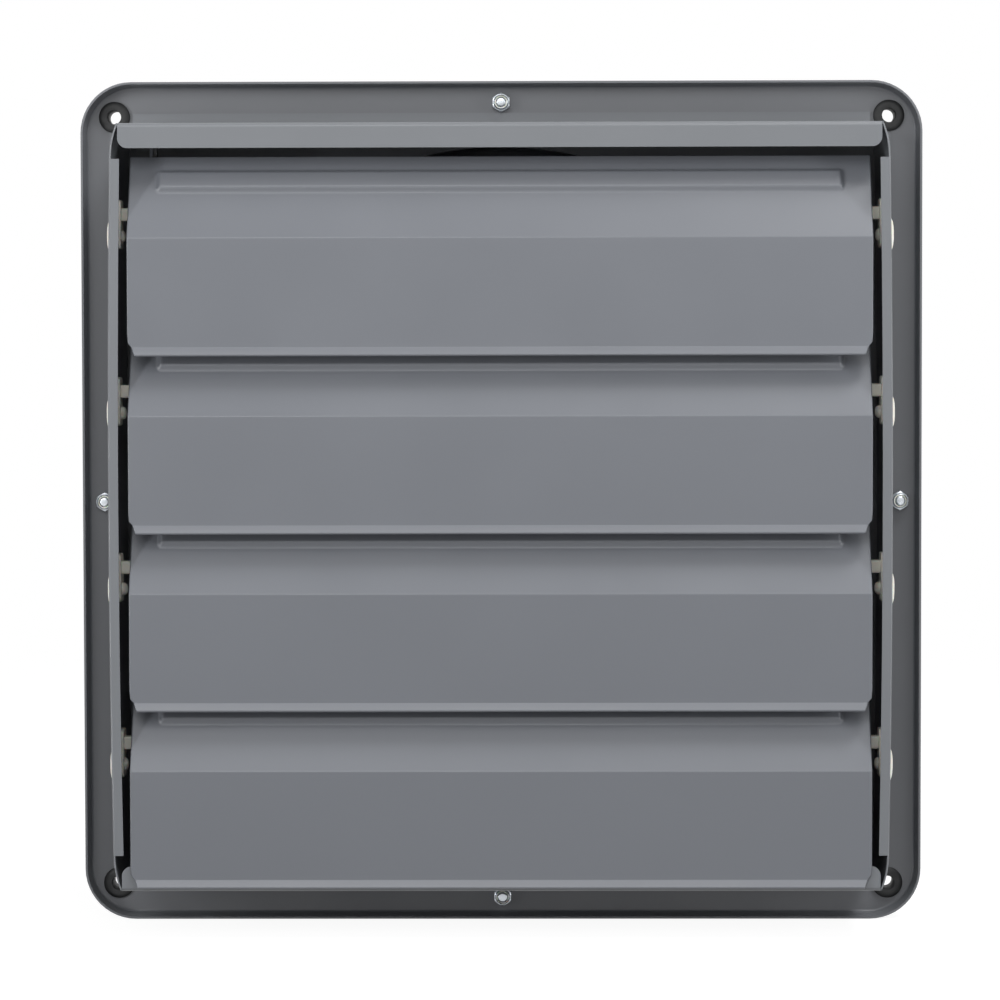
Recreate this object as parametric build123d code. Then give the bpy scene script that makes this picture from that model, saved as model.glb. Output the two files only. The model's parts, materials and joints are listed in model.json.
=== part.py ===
from build123d import *
import math
import os

os.makedirs("parts", exist_ok=True)

# A 300 mm wall exhaust fan with a gravity shutter. Lengths are in millimetres.
# The fan turns about Y: the shutter faces -Y, the motor is at +Y, and +Z is up.
# The origin is on that axis, on the panel's face that carries the shutter box.

# Clearances and seats
cut_overrun = 1.0
fit_clearance = 0.02
running_clearance = 0.05
seat_gap = 0.05
weld_sink = 0.15

# Mounting panel
panel_side = 396.0
panel_sheet = 1.0
panel_corner_radius = 24.0
rim_depth = 10.0
rim_flare = 1.1
rim_bend_radius = 1.2
wall_hole_side_inset = 15.0
wall_hole_top_inset = 16.0
guard_bolt_inset = 9.5

# Ring drawn up around the fan opening
throat_inset = 21.75
throat_reach = 8.0
ring_roll_radius = 8.0
ring_straight = 10.0

# Shutter box
side_flange = 23.75
top_flange = 22.75
box_depth = 75.0
box_sheet = 0.8
box_bend_radius = 1.0
front_lip = 11.4
lip_corner_radius = 4.4
foot_margin = 0.2
side_foot_margin = 0.6
side_bulge = 3.0
side_bow = 1.4
corner_run = 16.25
side_strip = 4.6
strip_bend_radius = 0.75

# Louvers
louver_count = 4
louver_sheet = 0.8
louver_bend_radius = 0.8
louver_end_gap = 7.85
louver_front_gap = 0.6
top_gap = 14.85
bottom_gap = 1.65
louver_overlap = 9.6
upper_rise = 37.3
upper_lean = 18.0
pivot_drop = 26.1
pivot_setback = 20.0
lip_rise = 3.7
lip_kick = 1.7
hem_length = 2.2

# Guard and motor
guard_depth = 52.0
guard_gap = 7.5
guard_corner_radius = 30.0
main_wire = 4.0
thin_wire = 2.5
ring_wire = 2.5
motor_radius = 46.0
shield_depth = 20.0
shield_wall = 2.5
core_length = 28.0
shaft_radius = 4.0

# Impeller
tip_clearance = 4.5
blade_pitch = 28
blade_count = 5
blade_sheet = 1.2
blade_camber_radius = 150.0
impeller_centre = 12.0

# Sizes that follow from those above
flat_side = panel_side - 2 * rim_flare
flat_corner_radius = panel_corner_radius - rim_flare
wall_hole_x = panel_side / 2 - wall_hole_side_inset
wall_hole_z = panel_side / 2 - wall_hole_top_inset
guard_bolt_place = panel_side / 2 - guard_bolt_inset
box_width = panel_side - 2 * side_flange
box_height = panel_side - 2 * top_flange
throat_radius = box_width / 2 - throat_inset
ring_roll_centre = throat_radius + ring_roll_radius
ring_outer_radius = throat_radius + 2 * ring_roll_radius
louver_pitch = (box_height - top_gap - bottom_gap - louver_overlap) / louver_count
louver_height = louver_pitch + louver_overlap
first_pivot = box_height / 2 - top_gap - pivot_drop
pivot_y = pivot_setback - box_depth
guard_radius = ring_outer_radius + guard_gap + main_wire
tip_radius = throat_radius - tip_clearance


# Drawing helpers

def facing(y):
    # Plane at this y, drawn as seen from the shutter side: right is +X and up is +Z.
    return Plane(origin=(0, y, 0), x_dir=(1, 0, 0), z_dir=(0, -1, 0))


def slab(sketch, y_from, y_to):
    return facing(y_to) * extrude(sketch, y_to - y_from)


def along_x(sketch, x_from, x_to):
    # The sketch is drawn in Y and Z.
    return Pos(x_from, 0, 0) * extrude(Plane.YZ * sketch, x_to - x_from)


def span(x_from, x_to, y_from, y_to):
    middle = Pos((x_from + x_to) / 2, (y_from + y_to) / 2)
    return middle * Rectangle(x_to - x_from, y_to - y_from)


def block(x_from, x_to, y_from, y_to, z_from, z_to):
    return slab(span(x_from, x_to, z_from, z_to), y_from, y_to)


def rod_x(radius, x_from, x_to, y, z):
    return along_x(Pos(y, z) * Circle(radius), x_from, x_to)


def rod_y(radius, y_from, y_to, x=0, z=0):
    return slab(Pos(x, z) * Circle(radius), y_from, y_to)


def rod_z(radius, z_from, z_to, x, y):
    return Pos(x, y, z_from) * extrude(Circle(radius), z_to - z_from)


def turned(part, degrees):
    return Rot(0, degrees, 0) * part


def group(parts):
    return Compound([solid for part in parts for solid in part.solids()])


def left_normals(points):
    normals = []
    for (x_from, y_from), (x_to, y_to) in zip(points, points[1:]):
        length = math.hypot(x_to - x_from, y_to - y_from)
        normals.append(((y_from - y_to) / length, (x_to - x_from) / length))
    return normals


def side_shift(points, distance):
    # The same polyline moved to its left by the distance, with mitred corners.
    normals = left_normals(points)
    shifted = []
    for (x, y), before, after in zip(points, normals[:1] + normals, normals + normals[-1:]):
        mean_x = (before[0] + after[0]) / 2
        mean_y = (before[1] + after[1]) / 2
        reach = distance / (mean_x ** 2 + mean_y ** 2)
        shifted.append((x + mean_x * reach, y + mean_y * reach))
    return shifted


def bent_sheet(points, thickness, inside_radius):
    # Section of a folded sheet: one face follows the points, the other lies to their left.
    far_points = side_shift(points, thickness)
    outside_radius = inside_radius + abs(thickness)
    near_radii = []
    far_radii = []
    for before, corner, after in zip(points, points[1:], points[2:]):
        turn = (corner[0] - before[0]) * (after[1] - corner[1])
        turn -= (corner[1] - before[1]) * (after[0] - corner[0])
        near_is_outside = turn * thickness > 0
        near_radii.append(outside_radius if near_is_outside else inside_radius)
        far_radii.append(inside_radius if near_is_outside else outside_radius)
    edges = FilletPolyline(*points, radius=near_radii).edges()
    edges += FilletPolyline(*far_points, radius=far_radii).edges()
    edges += Line(points[0], far_points[0]).edges()
    edges += Line(points[-1], far_points[-1]).edges()
    return make_face(edges)


def hexagon(across_flats, turn=0):
    return RegularPolygon(across_flats / 2, 6, major_radius=False, rotation=turn)


# Fasteners of the guard: M5 bolts whose lock nuts show on the shutter side

bolt_radius = 2.5
bolt_hole_radius = 2.75
bolt_head_flats = 8.0
bolt_head_height = 3.5
bolt_end_chamfer = 0.6
nut_flats = 8.0
nut_turn = 30
nut_height = 3.4
collar_height = 1.6
collar_base_radius = 3.7
collar_end_radius = 3.25
insert_radius = 2.95
insert_height = 1.4
bolt_stick_out = 0.5
nut_corner_reach = nut_flats / math.sqrt(3)
bolt_end_y = -nut_height - collar_height - bolt_stick_out
foot_sheet = 1.5


def mid_sides():
    return [(guard_bolt_place, 0), (0, guard_bolt_place), (-guard_bolt_place, 0), (0, -guard_bolt_place)]


def guard_bolts():
    head_y = panel_sheet + foot_sheet
    bolts = []
    for x, z in mid_sides():
        shank = rod_y(bolt_radius, bolt_end_y, head_y, x, z)
        shank = chamfer(shank.edges().sort_by(Axis.Y)[0], bolt_end_chamfer)
        bolts.append(shank + slab(Pos(x, z) * hexagon(bolt_head_flats), head_y, head_y + bolt_head_height))
    return group(bolts)


def lock_nuts():
    nuts = []
    collar_end = -nut_height - collar_height
    for x, z in mid_sides():
        nut = slab(Pos(x, z) * hexagon(nut_flats, nut_turn), -nut_height, 0)
        base = facing(-nut_height) * Pos(x, z) * Circle(collar_base_radius)
        end = facing(collar_end) * Pos(x, z) * Circle(collar_end_radius)
        nut += loft([base, end], ruled=True)
        low = collar_end - cut_overrun
        nut -= rod_y(bolt_radius + fit_clearance, low, cut_overrun, x, z)
        nut -= rod_y(insert_radius + fit_clearance, low, collar_end + insert_height, x, z)
        nuts.append(nut)
    return group(nuts)


def lock_nut_inserts():
    rings = []
    collar_end = -nut_height - collar_height
    for x, z in mid_sides():
        ring = rod_y(insert_radius, collar_end, collar_end + insert_height, x, z)
        rings.append(ring - rod_y(bolt_radius + fit_clearance, collar_end - cut_overrun, 0, x, z))
    return group(rings)


# Mounting panel

grommet_groove_radius = 4.98


def rounded_frustum(side, radius, grow, y_from, y_to):
    near = facing(y_from) * RectangleRounded(side, side, radius)
    far = facing(y_to) * RectangleRounded(side + 2 * grow, side + 2 * grow, radius + grow)
    return loft([near, far], ruled=True)


def ring_outline(roll_radius, y_from):
    roll = Pos(ring_roll_centre, ring_straight) * Circle(roll_radius)
    legs = span(ring_roll_centre - roll_radius, ring_roll_centre + roll_radius, y_from, ring_straight)
    return roll + legs


def drawn_ring():
    # Inverted U section: its outer leg rises from the panel, its inner leg is the fan's throat.
    y_low = -throat_reach - cut_overrun
    section = ring_outline(ring_roll_radius, -throat_reach)
    section -= ring_outline(ring_roll_radius - panel_sheet, y_low)
    section -= span(ring_roll_centre, ring_outer_radius + cut_overrun, y_low, 0)
    return revolve(section, Axis.Y)


def corner_places():
    return [(x, z) for x in (-wall_hole_x, wall_hole_x) for z in (-wall_hole_z, wall_hole_z)]


def mounting_panel():
    # The rim is turned forward, to the shutter side, and opens outwards a little.
    panel = rounded_frustum(flat_side, flat_corner_radius, rim_flare, panel_sheet, -rim_depth)
    panel = fillet(panel.faces().sort_by(Axis.Y)[-1].edges(), rim_bend_radius + panel_sheet)
    slope = rim_flare / (rim_depth + panel_sheet)
    inset = slope * panel_sheet - panel_sheet
    y_end = rim_depth + cut_overrun
    hollow_side = flat_side + 2 * inset
    hollow = rounded_frustum(hollow_side, flat_corner_radius + inset, slope * y_end, 0, -y_end)
    panel -= fillet(hollow.faces().sort_by(Axis.Y)[-1].edges(), rim_bend_radius)
    panel -= rod_y(ring_outer_radius - panel_sheet, -cut_overrun, panel_sheet + cut_overrun)
    panel += drawn_ring()
    for x, z in corner_places():
        panel -= rod_y(grommet_groove_radius + fit_clearance, -cut_overrun, panel_sheet + cut_overrun, x, z)
    for x, z in mid_sides():
        panel -= rod_y(bolt_hole_radius, -cut_overrun, panel_sheet + cut_overrun, x, z)
    return panel


# Rubber bushes in the corner wall holes, which also stand the panel off the wall

grommet_bore_radius = 3.25
grommet_lip_radius = 7.5
grommet_face_radius = 6.2
grommet_back_radius = 7.0
grommet_lip_height = 0.8
grommet_front_height = 2.0
grommet_back_height = 12.0


def corner_grommets():
    back_y = panel_sheet + grommet_back_height
    section = make_face(Polyline(
        (grommet_bore_radius, -grommet_front_height),
        (grommet_face_radius, -grommet_front_height),
        (grommet_lip_radius, -grommet_lip_height),
        (grommet_lip_radius, 0),
        (grommet_groove_radius, 0),
        (grommet_groove_radius, panel_sheet),
        (grommet_back_radius, panel_sheet),
        (grommet_back_radius, back_y),
        (grommet_bore_radius, back_y),
        close=True,
    ).edges())
    grommet = revolve(section, Axis.Y)
    return group([Pos(x, 0, z) * grommet for x, z in corner_places()])


# Shutter box walls

box_top = box_height / 2
box_half_width = box_width / 2
side_shoulder = box_half_width + side_bulge
side_wall_top = box_top - box_sheet
shoulder_height = box_top - corner_run
bow_radius = (shoulder_height ** 2 + side_bow ** 2) / (2 * side_bow)
lip_end_gap = 0.05
bearing_peg_radius = 2.4
bearing_peg_drop = 10.0


def pivot_height(index):
    return first_pivot - index * louver_pitch


def side_face(z):
    # Outer face of the right wall between its shoulders.
    return side_shoulder + side_bow - bow_radius + math.sqrt(bow_radius ** 2 - z ** 2)


def shutter_top_wall():
    foot_edge = guard_bolt_place - nut_corner_reach - foot_margin
    points = [
        (-box_depth, box_top - front_lip),
        (-box_depth, box_top),
        (-box_sheet, box_top),
        (-box_sheet, foot_edge),
    ]
    wall = along_x(bent_sheet(points, -box_sheet, box_bend_radius), -box_half_width, box_half_width)
    lip_end = box_half_width - box_sheet - lip_end_gap
    lip_back = -box_depth + box_sheet + box_bend_radius
    for x in (-box_half_width - cut_overrun, lip_end):
        length = box_half_width + cut_overrun - lip_end
        wall -= block(x, x + length, -box_depth - cut_overrun, lip_back, 0, box_top + cut_overrun)
    return fillet(wall.edges().filter_by(Axis.Y).group_by(Axis.Z)[0], lip_corner_radius)


def shutter_bottom_wall():
    return mirror(shutter_top_wall(), Plane.XY)


def bow_arc(shift):
    return ThreePointArc(
        (side_shoulder + shift, shoulder_height),
        (side_shoulder + side_bow + shift, 0),
        (side_shoulder + shift, -shoulder_height),
    ).edges()


def side_curve(shift):
    # Outer face line of the right wall, from top to bottom, moved outwards by the shift.
    edges = bow_arc(shift)
    for sign in (1, -1):
        shoulder = (side_shoulder + shift, sign * shoulder_height)
        end = (box_half_width + shift, sign * side_wall_top)
        edges += TangentArc(shoulder, end, tangent=(0, sign)).edges()
    return edges


def between(left_edges, right_edges, left_x, right_x, height):
    edges = left_edges + right_edges
    edges += Line((left_x, height), (right_x, height)).edges()
    edges += Line((left_x, -height), (right_x, -height)).edges()
    return make_face(edges)


def shutter_right_wall():
    middle = -box_sheet / 2
    foot_edge = guard_bolt_place - nut_flats / 2 - side_foot_margin
    web = between(
        side_curve(-box_sheet), side_curve(0), box_half_width - box_sheet, box_half_width, side_wall_top
    )
    wall = slab(web, -box_depth, 0)
    strip = between(
        bow_arc(-side_strip), bow_arc(middle),
        side_shoulder - side_strip, side_shoulder + middle, shoulder_height,
    )
    wall += slab(strip, -box_depth, -box_depth + box_sheet)
    foot_line = Line((foot_edge, -side_wall_top), (foot_edge, side_wall_top)).edges()
    foot = between(side_curve(middle), foot_line, box_half_width + middle, foot_edge, side_wall_top)
    foot_end = wall_hole_z - grommet_lip_radius - side_foot_margin
    wall += slab(foot, -box_sheet, 0) & block(0, panel_side / 2, -box_sheet, 0, -foot_end, foot_end)
    wall = fillet(wall.edges().group_by(Axis.Y)[0].sort_by(Axis.X)[-1], strip_bend_radius)
    for index in range(louver_count):
        z = pivot_height(index) - bearing_peg_drop
        hole_radius = bearing_peg_radius + fit_clearance
        wall -= rod_x(hole_radius, box_half_width - side_strip, foot_edge, pivot_y, z)
    return wall


def shutter_left_wall():
    return mirror(shutter_right_wall(), Plane.YZ)


# Nylon pivot bearings, clipped in the side walls

pin_radius = 1.5
louver_half = box_half_width + side_bulge - louver_end_gap
bearing_plate = 3.1
bearing_depth = 12.0
bearing_above = 6.5
bearing_below = 15.7
bearing_corner_radius = 2.0
bearing_boss_radius = 3.0
bearing_boss_gap = 0.5
lower_boss_gap = 2.6
lower_boss_round = 1.4
clip_depth = 10.0
clip_height = 17.0
clip_thickness = 2.5
clip_corner_radius = 1.5
pin_reach = 4.6


def pivot_bearing_right(index):
    z = pivot_height(index)
    top = z + bearing_above
    bottom = z - bearing_below
    seat = min(side_face(top), side_face(bottom)) - box_sheet - seat_gap
    plate_face = seat - bearing_plate
    plate = RectangleRounded(bearing_depth, top - bottom, bearing_corner_radius)
    bearing = along_x(Pos(pivot_y, (top + bottom) / 2) * plate, plate_face, seat)
    bearing += rod_x(bearing_boss_radius, louver_half + bearing_boss_gap, plate_face, pivot_y, z)
    peg_z = z - bearing_peg_drop
    lower_boss = rod_x(bearing_boss_radius, louver_half + lower_boss_gap, seat, pivot_y, peg_z)
    round_radius = min(lower_boss_round, bearing_boss_radius / 2)
    bearing += fillet(lower_boss.edges().group_by(Axis.X)[0], round_radius)
    clip_bottom = peg_z - clip_height / 2
    clip_top = peg_z + clip_height / 2
    clip_seat = side_face(min(max(0, clip_bottom), clip_top)) + seat_gap
    bearing += rod_x(bearing_peg_radius, plate_face, clip_seat, pivot_y, peg_z)
    clip = Pos(pivot_y, peg_z) * RectangleRounded(clip_depth, clip_height, clip_corner_radius)
    bearing += along_x(clip, clip_seat, clip_seat + clip_thickness)
    bore_end = louver_half + pin_reach + running_clearance
    bearing -= rod_x(pin_radius + running_clearance, louver_half, bore_end, pivot_y, z)
    return bearing


def pivot_bearing_left(index):
    return mirror(pivot_bearing_right(index), Plane.YZ)


# Louvers, drawn from their own pivot and then moved to it

louver_face = -pivot_setback - louver_front_gap - louver_sheet
louver_bend = (louver_face, pivot_drop - upper_rise)
louver_top_edge = (louver_face + upper_lean, pivot_drop)
louver_lip_start = (louver_face, pivot_drop - louver_height + lip_rise)
louver_lip_end = (louver_face - lip_kick, pivot_drop - louver_height)
lip_length = math.hypot(lip_rise, lip_kick)
lip_up = (lip_kick / lip_length, lip_rise / lip_length)
lip_back = (lip_up[1], -lip_up[0])
end_cut_rise = 6.0
end_cut_step_rise = 3.2
end_cut_step = 2.3
end_cut_depth = 3.3
rib_end_gap = 12.0
rib_half_length = louver_half - rib_end_gap
rib_height = 12.1
rib_above_pivot = 14.8
rib_raise = 2.0
rib_crest_radius = 0.7
rib_draft = 40
ear_above = 13.0
ear_below = 7.2
ear_radius = 5.0
bracket_inset = 10.0
bracket_x = bracket_inset - louver_half
bracket_sheet = 1.2
bracket_foot = 7.0
bracket_above = 24.0
bracket_below = 9.0
bracket_eye_radius = 4.0
link_setback = 6.0
bar_width = 9.0
bar_sheet = 1.5
bar_top_gap = 2.65
bar_side_gap = 0.2
open_link_clearance = 0.3
link_rise = top_gap - box_sheet + pivot_drop - bar_width / 2 - bar_top_gap


def at_pivot(part, index):
    return Pos(0, pivot_y, pivot_height(index)) * part


def on_panel(z, depth):
    # Point of the louver's upper part at this height, this far behind its front face.
    share = (pivot_drop - z) / upper_rise
    return (louver_top_edge[0] - share * upper_lean + depth, z)


def lip_point(up, back):
    y = louver_lip_end[0] + up * lip_up[0] + back * lip_back[0]
    z = louver_lip_end[1] + up * lip_up[1] + back * lip_back[1]
    return (y, z)


def louver_section():
    points = [louver_top_edge, louver_bend, louver_lip_start, lip_point(louver_sheet, 0)]
    section = bent_sheet(points, louver_sheet, louver_bend_radius)
    section += Pos(*lip_point(louver_sheet, louver_sheet)) * Circle(louver_sheet)
    section += make_face(Polyline(
        lip_point(louver_sheet, 0),
        lip_point(louver_sheet, 2 * louver_sheet),
        lip_point(hem_length + louver_sheet, 2 * louver_sheet),
        lip_point(hem_length + louver_sheet, 0),
        close=True,
    ).edges())
    return section


def rib_frustum(plane, inset, low, high):
    # The rib's flanks lean in by the draft angle; inset moves them in at the panel's front face.
    lean = math.tan(math.radians(rib_draft))
    outlines = []
    for rise in (low, high):
        shrink = inset + rise * lean
        length = 2 * (rib_half_length - shrink)
        height = rib_height - 2 * shrink
        corner = rib_crest_radius + rib_raise * lean - shrink
        outlines.append(plane * Pos(0, 0, rise) * RectangleRounded(length, height, corner))
    return loft(outlines, ruled=True)


def rib_plane():
    y, z = on_panel(rib_above_pivot, 0)
    return Plane(origin=(0, y, z), x_dir=(1, 0, 0), z_dir=(0, -upper_rise, upper_lean))


def louver_ear():
    panel_line = Line(on_panel(ear_above, louver_sheet), on_panel(-ear_below, louver_sheet))
    return make_hull(Circle(ear_radius).edges() + panel_line.edges())


def link_arm():
    panel_line = Line(on_panel(bracket_above, louver_sheet), on_panel(bracket_below, louver_sheet))
    eye = Pos(link_setback, link_rise) * Circle(bracket_eye_radius)
    return make_hull(eye.edges() + panel_line.edges())


def bracket_foot_section():
    upper = on_panel(bracket_above, louver_sheet)
    lower = on_panel(bracket_below, louver_sheet)
    line = [lower, upper]
    outer = side_shift(line, -bracket_sheet)
    return make_face(Polyline(*line, *reversed(outer), close=True).edges())


def louver(index):
    blade = along_x(louver_section(), -louver_half, louver_half)
    wall_inset = louver_sheet / math.cos(math.radians(rib_draft))
    plane = rib_plane()
    blade += rib_frustum(plane, 0, -louver_sheet / 2, rib_raise)
    blade -= rib_frustum(plane, wall_inset, -louver_sheet - cut_overrun, rib_raise - louver_sheet)
    low = louver_lip_end[1]
    for sign in (1, -1):
        corner = make_face(Polyline(
            (sign * (louver_half + cut_overrun), low + end_cut_rise),
            (sign * louver_half, low + end_cut_rise),
            (sign * (louver_half - end_cut_step), low + end_cut_step_rise),
            (sign * (louver_half - end_cut_depth), low),
            (sign * (louver_half - end_cut_depth), low - cut_overrun),
            (sign * (louver_half + cut_overrun), low - cut_overrun),
            close=True,
        ).edges())
        blade -= slab(corner, louver_face - lip_kick - cut_overrun, 0)
        x_low = min(sign * louver_half, sign * (louver_half - louver_sheet))
        x_high = x_low + louver_sheet
        ear = along_x(louver_ear(), x_low, x_high)
        ear -= rod_x(pin_radius + fit_clearance, x_low - cut_overrun, x_high + cut_overrun, 0, 0)
        blade += ear
    arm_x = bracket_x - bracket_sheet
    arm = along_x(link_arm(), arm_x, bracket_x)
    slack = running_clearance if index == 0 else open_link_clearance
    arm -= rod_x(pin_radius + slack, arm_x - cut_overrun, bracket_x + cut_overrun, link_setback, link_rise)
    blade += arm
    blade += along_x(bracket_foot_section(), arm_x - bracket_foot, bracket_x)
    return at_pivot(blade, index)


# Steel pivot pins, riveted in the louver ears

pin_head_radius = 3.0
pin_head_height = 1.0


def louver_pins(index):
    ear_inside = louver_half - louver_sheet
    pin = rod_x(pin_head_radius, ear_inside - pin_head_height, ear_inside, 0, 0)
    pin += rod_x(pin_radius, ear_inside, louver_half + pin_reach, 0, 0)
    return at_pivot(group([pin, mirror(pin, Plane.YZ)]), index)


# Tie bar that makes the louvers open together, and its pins

link_head_radius = 2.6
link_head_height = 0.8
bar_x = bracket_x + bar_side_gap
tie_y = pivot_y + link_setback


def link_heights():
    return [pivot_height(index) + link_rise for index in range(louver_count)]


def tie_bar():
    heights = link_heights()
    middle = (heights[0] + heights[-1]) / 2
    outline = Pos(tie_y, middle) * Rot(0, 0, 90) * SlotCenterToCenter(heights[0] - heights[-1], bar_width)
    inner_face = bar_x + bar_sheet
    bar = along_x(outline, bar_x, inner_face)
    for z in heights:
        bar -= rod_x(pin_radius + fit_clearance, bar_x - cut_overrun, inner_face + cut_overrun, tie_y, z)
    return bar


def link_pins():
    pins = []
    outer_face = bracket_x - bracket_sheet - seat_gap
    inner_face = bar_x + bar_sheet
    for z in link_heights():
        pin = rod_x(pin_radius, outer_face, inner_face, tie_y, z)
        pin += rod_x(link_head_radius, outer_face - link_head_height, outer_face, tie_y, z)
        pin += rod_x(link_head_radius, inner_face, inner_face + link_head_height, tie_y, z)
        pins.append(pin)
    return group(pins)


# Wire guard between the panel and the motor

spoke_count = 16
spoke_under_plate = 11.0
ring_count = 13
first_ring_gap = 8.0
last_ring_height = 8.0
thin_spoke_end = 6.0
foot_length = 19.5
foot_width = 20.0
foot_overhang = 4.0
foot_corner_radius = 3.0
motor_plate_margin = 12.0
motor_plate_radius = motor_radius + motor_plate_margin
spoke_start_radius = motor_plate_radius - spoke_under_plate
first_ring_radius = motor_plate_radius + first_ring_gap


def spoke(wire, y_end):
    centre_y = guard_depth - wire / 2
    centre_r = guard_radius - wire / 2
    path = FilletPolyline(
        (spoke_start_radius, centre_y),
        (centre_r, centre_y),
        (centre_r, y_end),
        radius=guard_corner_radius - wire / 2,
    )
    section = Plane(origin=(spoke_start_radius, centre_y, 0), z_dir=(1, 0, 0)) * Circle(wire / 2)
    return sweep(section, path=path)


def guard_spokes():
    spokes = []
    step = 360 / spoke_count
    for index in range(spoke_count):
        is_main = index % (spoke_count // 4) == 0
        if is_main:
            wire = spoke(main_wire, panel_sheet + foot_sheet)
        else:
            wire = spoke(thin_wire, thin_spoke_end)
        spokes.append(turned(wire, index * step))
    return group(spokes)


def guard_line(length):
    # Point and outward direction on the guard's outer face, this far along it from the first ring.
    flat = guard_radius - guard_corner_radius - first_ring_radius
    arc = guard_corner_radius * math.pi / 2
    corner_r = guard_radius - guard_corner_radius
    corner_y = guard_depth - guard_corner_radius
    if length <= flat:
        return (first_ring_radius + length, guard_depth, 0, 1)
    if length <= flat + arc:
        angle = (length - flat) / guard_corner_radius
        out_r = math.sin(angle)
        out_y = math.cos(angle)
        return (corner_r + guard_corner_radius * out_r, corner_y + guard_corner_radius * out_y, out_r, out_y)
    return (guard_radius, corner_y - (length - flat - arc), 1, 0)


def guard_rings():
    flat = guard_radius - guard_corner_radius - first_ring_radius
    side = guard_depth - guard_corner_radius - last_ring_height
    total = flat + guard_corner_radius * math.pi / 2 + side
    stand_off = ring_wire / 2 - weld_sink
    rings = []
    for index in range(ring_count):
        radius, y, out_r, out_y = guard_line(total * index / (ring_count - 1))
        centre = Pos(radius + out_r * stand_off, y + out_y * stand_off)
        rings.append(revolve(centre * Circle(ring_wire / 2), Axis.Y))
    return group(rings)


def guard_feet():
    inner = guard_radius - main_wire / 2 - foot_overhang
    middle = inner + foot_length / 2
    feet = []
    outline = Pos(middle, 0) * RectangleRounded(foot_length, foot_width, foot_corner_radius)
    outline -= Pos(guard_bolt_place, 0) * Circle(bolt_hole_radius)
    for index in range(4):
        feet.append(turned(slab(outline, panel_sheet, panel_sheet + foot_sheet), index * 90))
    return group(feet)


# Motor plate, welded on the guard's spokes

motor_plate_sheet = 2.0
motor_plate_hole_radius = 18.0
motor_bolt_inset = 5.0
motor_bolt_place = motor_radius - motor_bolt_inset
motor_bolt_radius = 2.0
motor_bolt_hole_radius = 2.2
motor_plate_y = guard_depth - weld_sink
shield_y = motor_plate_y + motor_plate_sheet
core_y = shield_y + shield_depth
rear_shield_y = core_y + core_length
motor_end_y = rear_shield_y + shield_depth


def motor_bolt_places():
    reach = motor_bolt_place / math.sqrt(2)
    return [(x, z) for x in (-reach, reach) for z in (-reach, reach)]


def motor_plate():
    outline = Circle(motor_plate_radius) - Circle(motor_plate_hole_radius)
    for x, z in motor_bolt_places():
        outline -= Pos(x, z) * Circle(motor_bolt_hole_radius)
    return slab(outline, motor_plate_y, shield_y)


# Motor shields, cast in aluminium, with a bearing pocket each

bearing_outer_radius = 11.0
bearing_width = 7.0
pocket_wall = 3.0
pocket_margin = 1.5
pillar_radius = 4.0
shaft_hole_radius = 6.0
vent_length = 10.0
vent_width = 5.0
shield_round = 4.0
vent_offset = 15
vent_spacing = 90


def shield_cup():
    # A cup open at +Y, with its closed end at y = 0.
    cup = rod_y(motor_radius, 0, shield_depth)
    cup = fillet(cup.edges().sort_by(Axis.Y)[0], shield_round)
    cup -= rod_y(motor_radius - shield_wall, shield_wall, shield_depth + cut_overrun)
    pocket_end = shield_wall + bearing_width + pocket_margin
    cup += rod_y(bearing_outer_radius + pocket_wall, shield_wall, pocket_end)
    cup -= rod_y(bearing_outer_radius + fit_clearance, shield_wall, pocket_end + cut_overrun)
    for x, z in motor_bolt_places():
        cup += rod_y(pillar_radius, shield_wall, shield_depth, x, z)
        cup -= rod_y(motor_bolt_hole_radius, -cut_overrun, shield_depth + cut_overrun, x, z)
    middle = (shield_depth + shield_wall) / 2
    vent = block(
        motor_radius - 2 * shield_wall, motor_radius + cut_overrun,
        middle - vent_length / 2, middle + vent_length / 2,
        -vent_width / 2, vent_width / 2,
    )
    for index in (1, 2, 3):
        for sign in (-1, 1):
            cup -= turned(vent, index * vent_spacing + sign * vent_offset)
    return cup


def motor_front_shield():
    cup = shield_cup()
    cup -= rod_y(shaft_hole_radius, -cut_overrun, shield_wall + cut_overrun)
    return Pos(0, shield_y, 0) * cup


def motor_rear_shield():
    cup = Pos(0, motor_end_y, 0) * mirror(shield_cup(), Plane.XZ)
    for z in (-box_screw_place, box_screw_place):
        cup -= rod_x(box_screw_radius + fit_clearance, 0, motor_radius + cut_overrun, box_screw_y, z)
    return cup


# Stator

stator_depth = 21.95
stator_yoke = 9.5
tooth_tip = 1.95
slot_count = 16
slot_width = 5.4
slot_mouth = 2.0
winding_clearance = 0.3
winding_mouth_gap = 1.0
winding_yoke_gap = 0.5
winding_overhang = 9.0
stator_bore_radius = motor_radius - stator_depth
slot_top_radius = stator_bore_radius + tooth_tip
slot_bottom_radius = motor_radius - stator_yoke
winding_inner_radius = slot_top_radius + winding_mouth_gap
winding_outer_radius = slot_bottom_radius - winding_yoke_gap


def stator_core():
    outline = Circle(motor_radius) - Circle(stator_bore_radius)
    slot = span(slot_top_radius, slot_bottom_radius, -slot_width / 2, slot_width / 2)
    slot += span(stator_bore_radius - cut_overrun, slot_top_radius, -slot_mouth / 2, slot_mouth / 2)
    for index in range(slot_count):
        outline -= Rot(0, 0, index * 360 / slot_count) * slot
    for x, z in motor_bolt_places():
        outline -= Pos(x, z) * Circle(motor_bolt_hole_radius)
    return slab(outline, core_y, rear_shield_y)


def stator_winding():
    ring = Circle(winding_outer_radius) - Circle(winding_inner_radius)
    winding = slab(ring, core_y - winding_overhang, core_y)
    winding += slab(ring, rear_shield_y, rear_shield_y + winding_overhang)
    half = slot_width / 2 - winding_clearance
    bar = slab(span(winding_inner_radius, winding_outer_radius, -half, half), core_y - running_clearance,
               rear_shield_y + running_clearance)
    for index in range(slot_count):
        winding += turned(bar, index * 360 / slot_count)
    return winding


# Ball bearings of the 608 size

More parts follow.
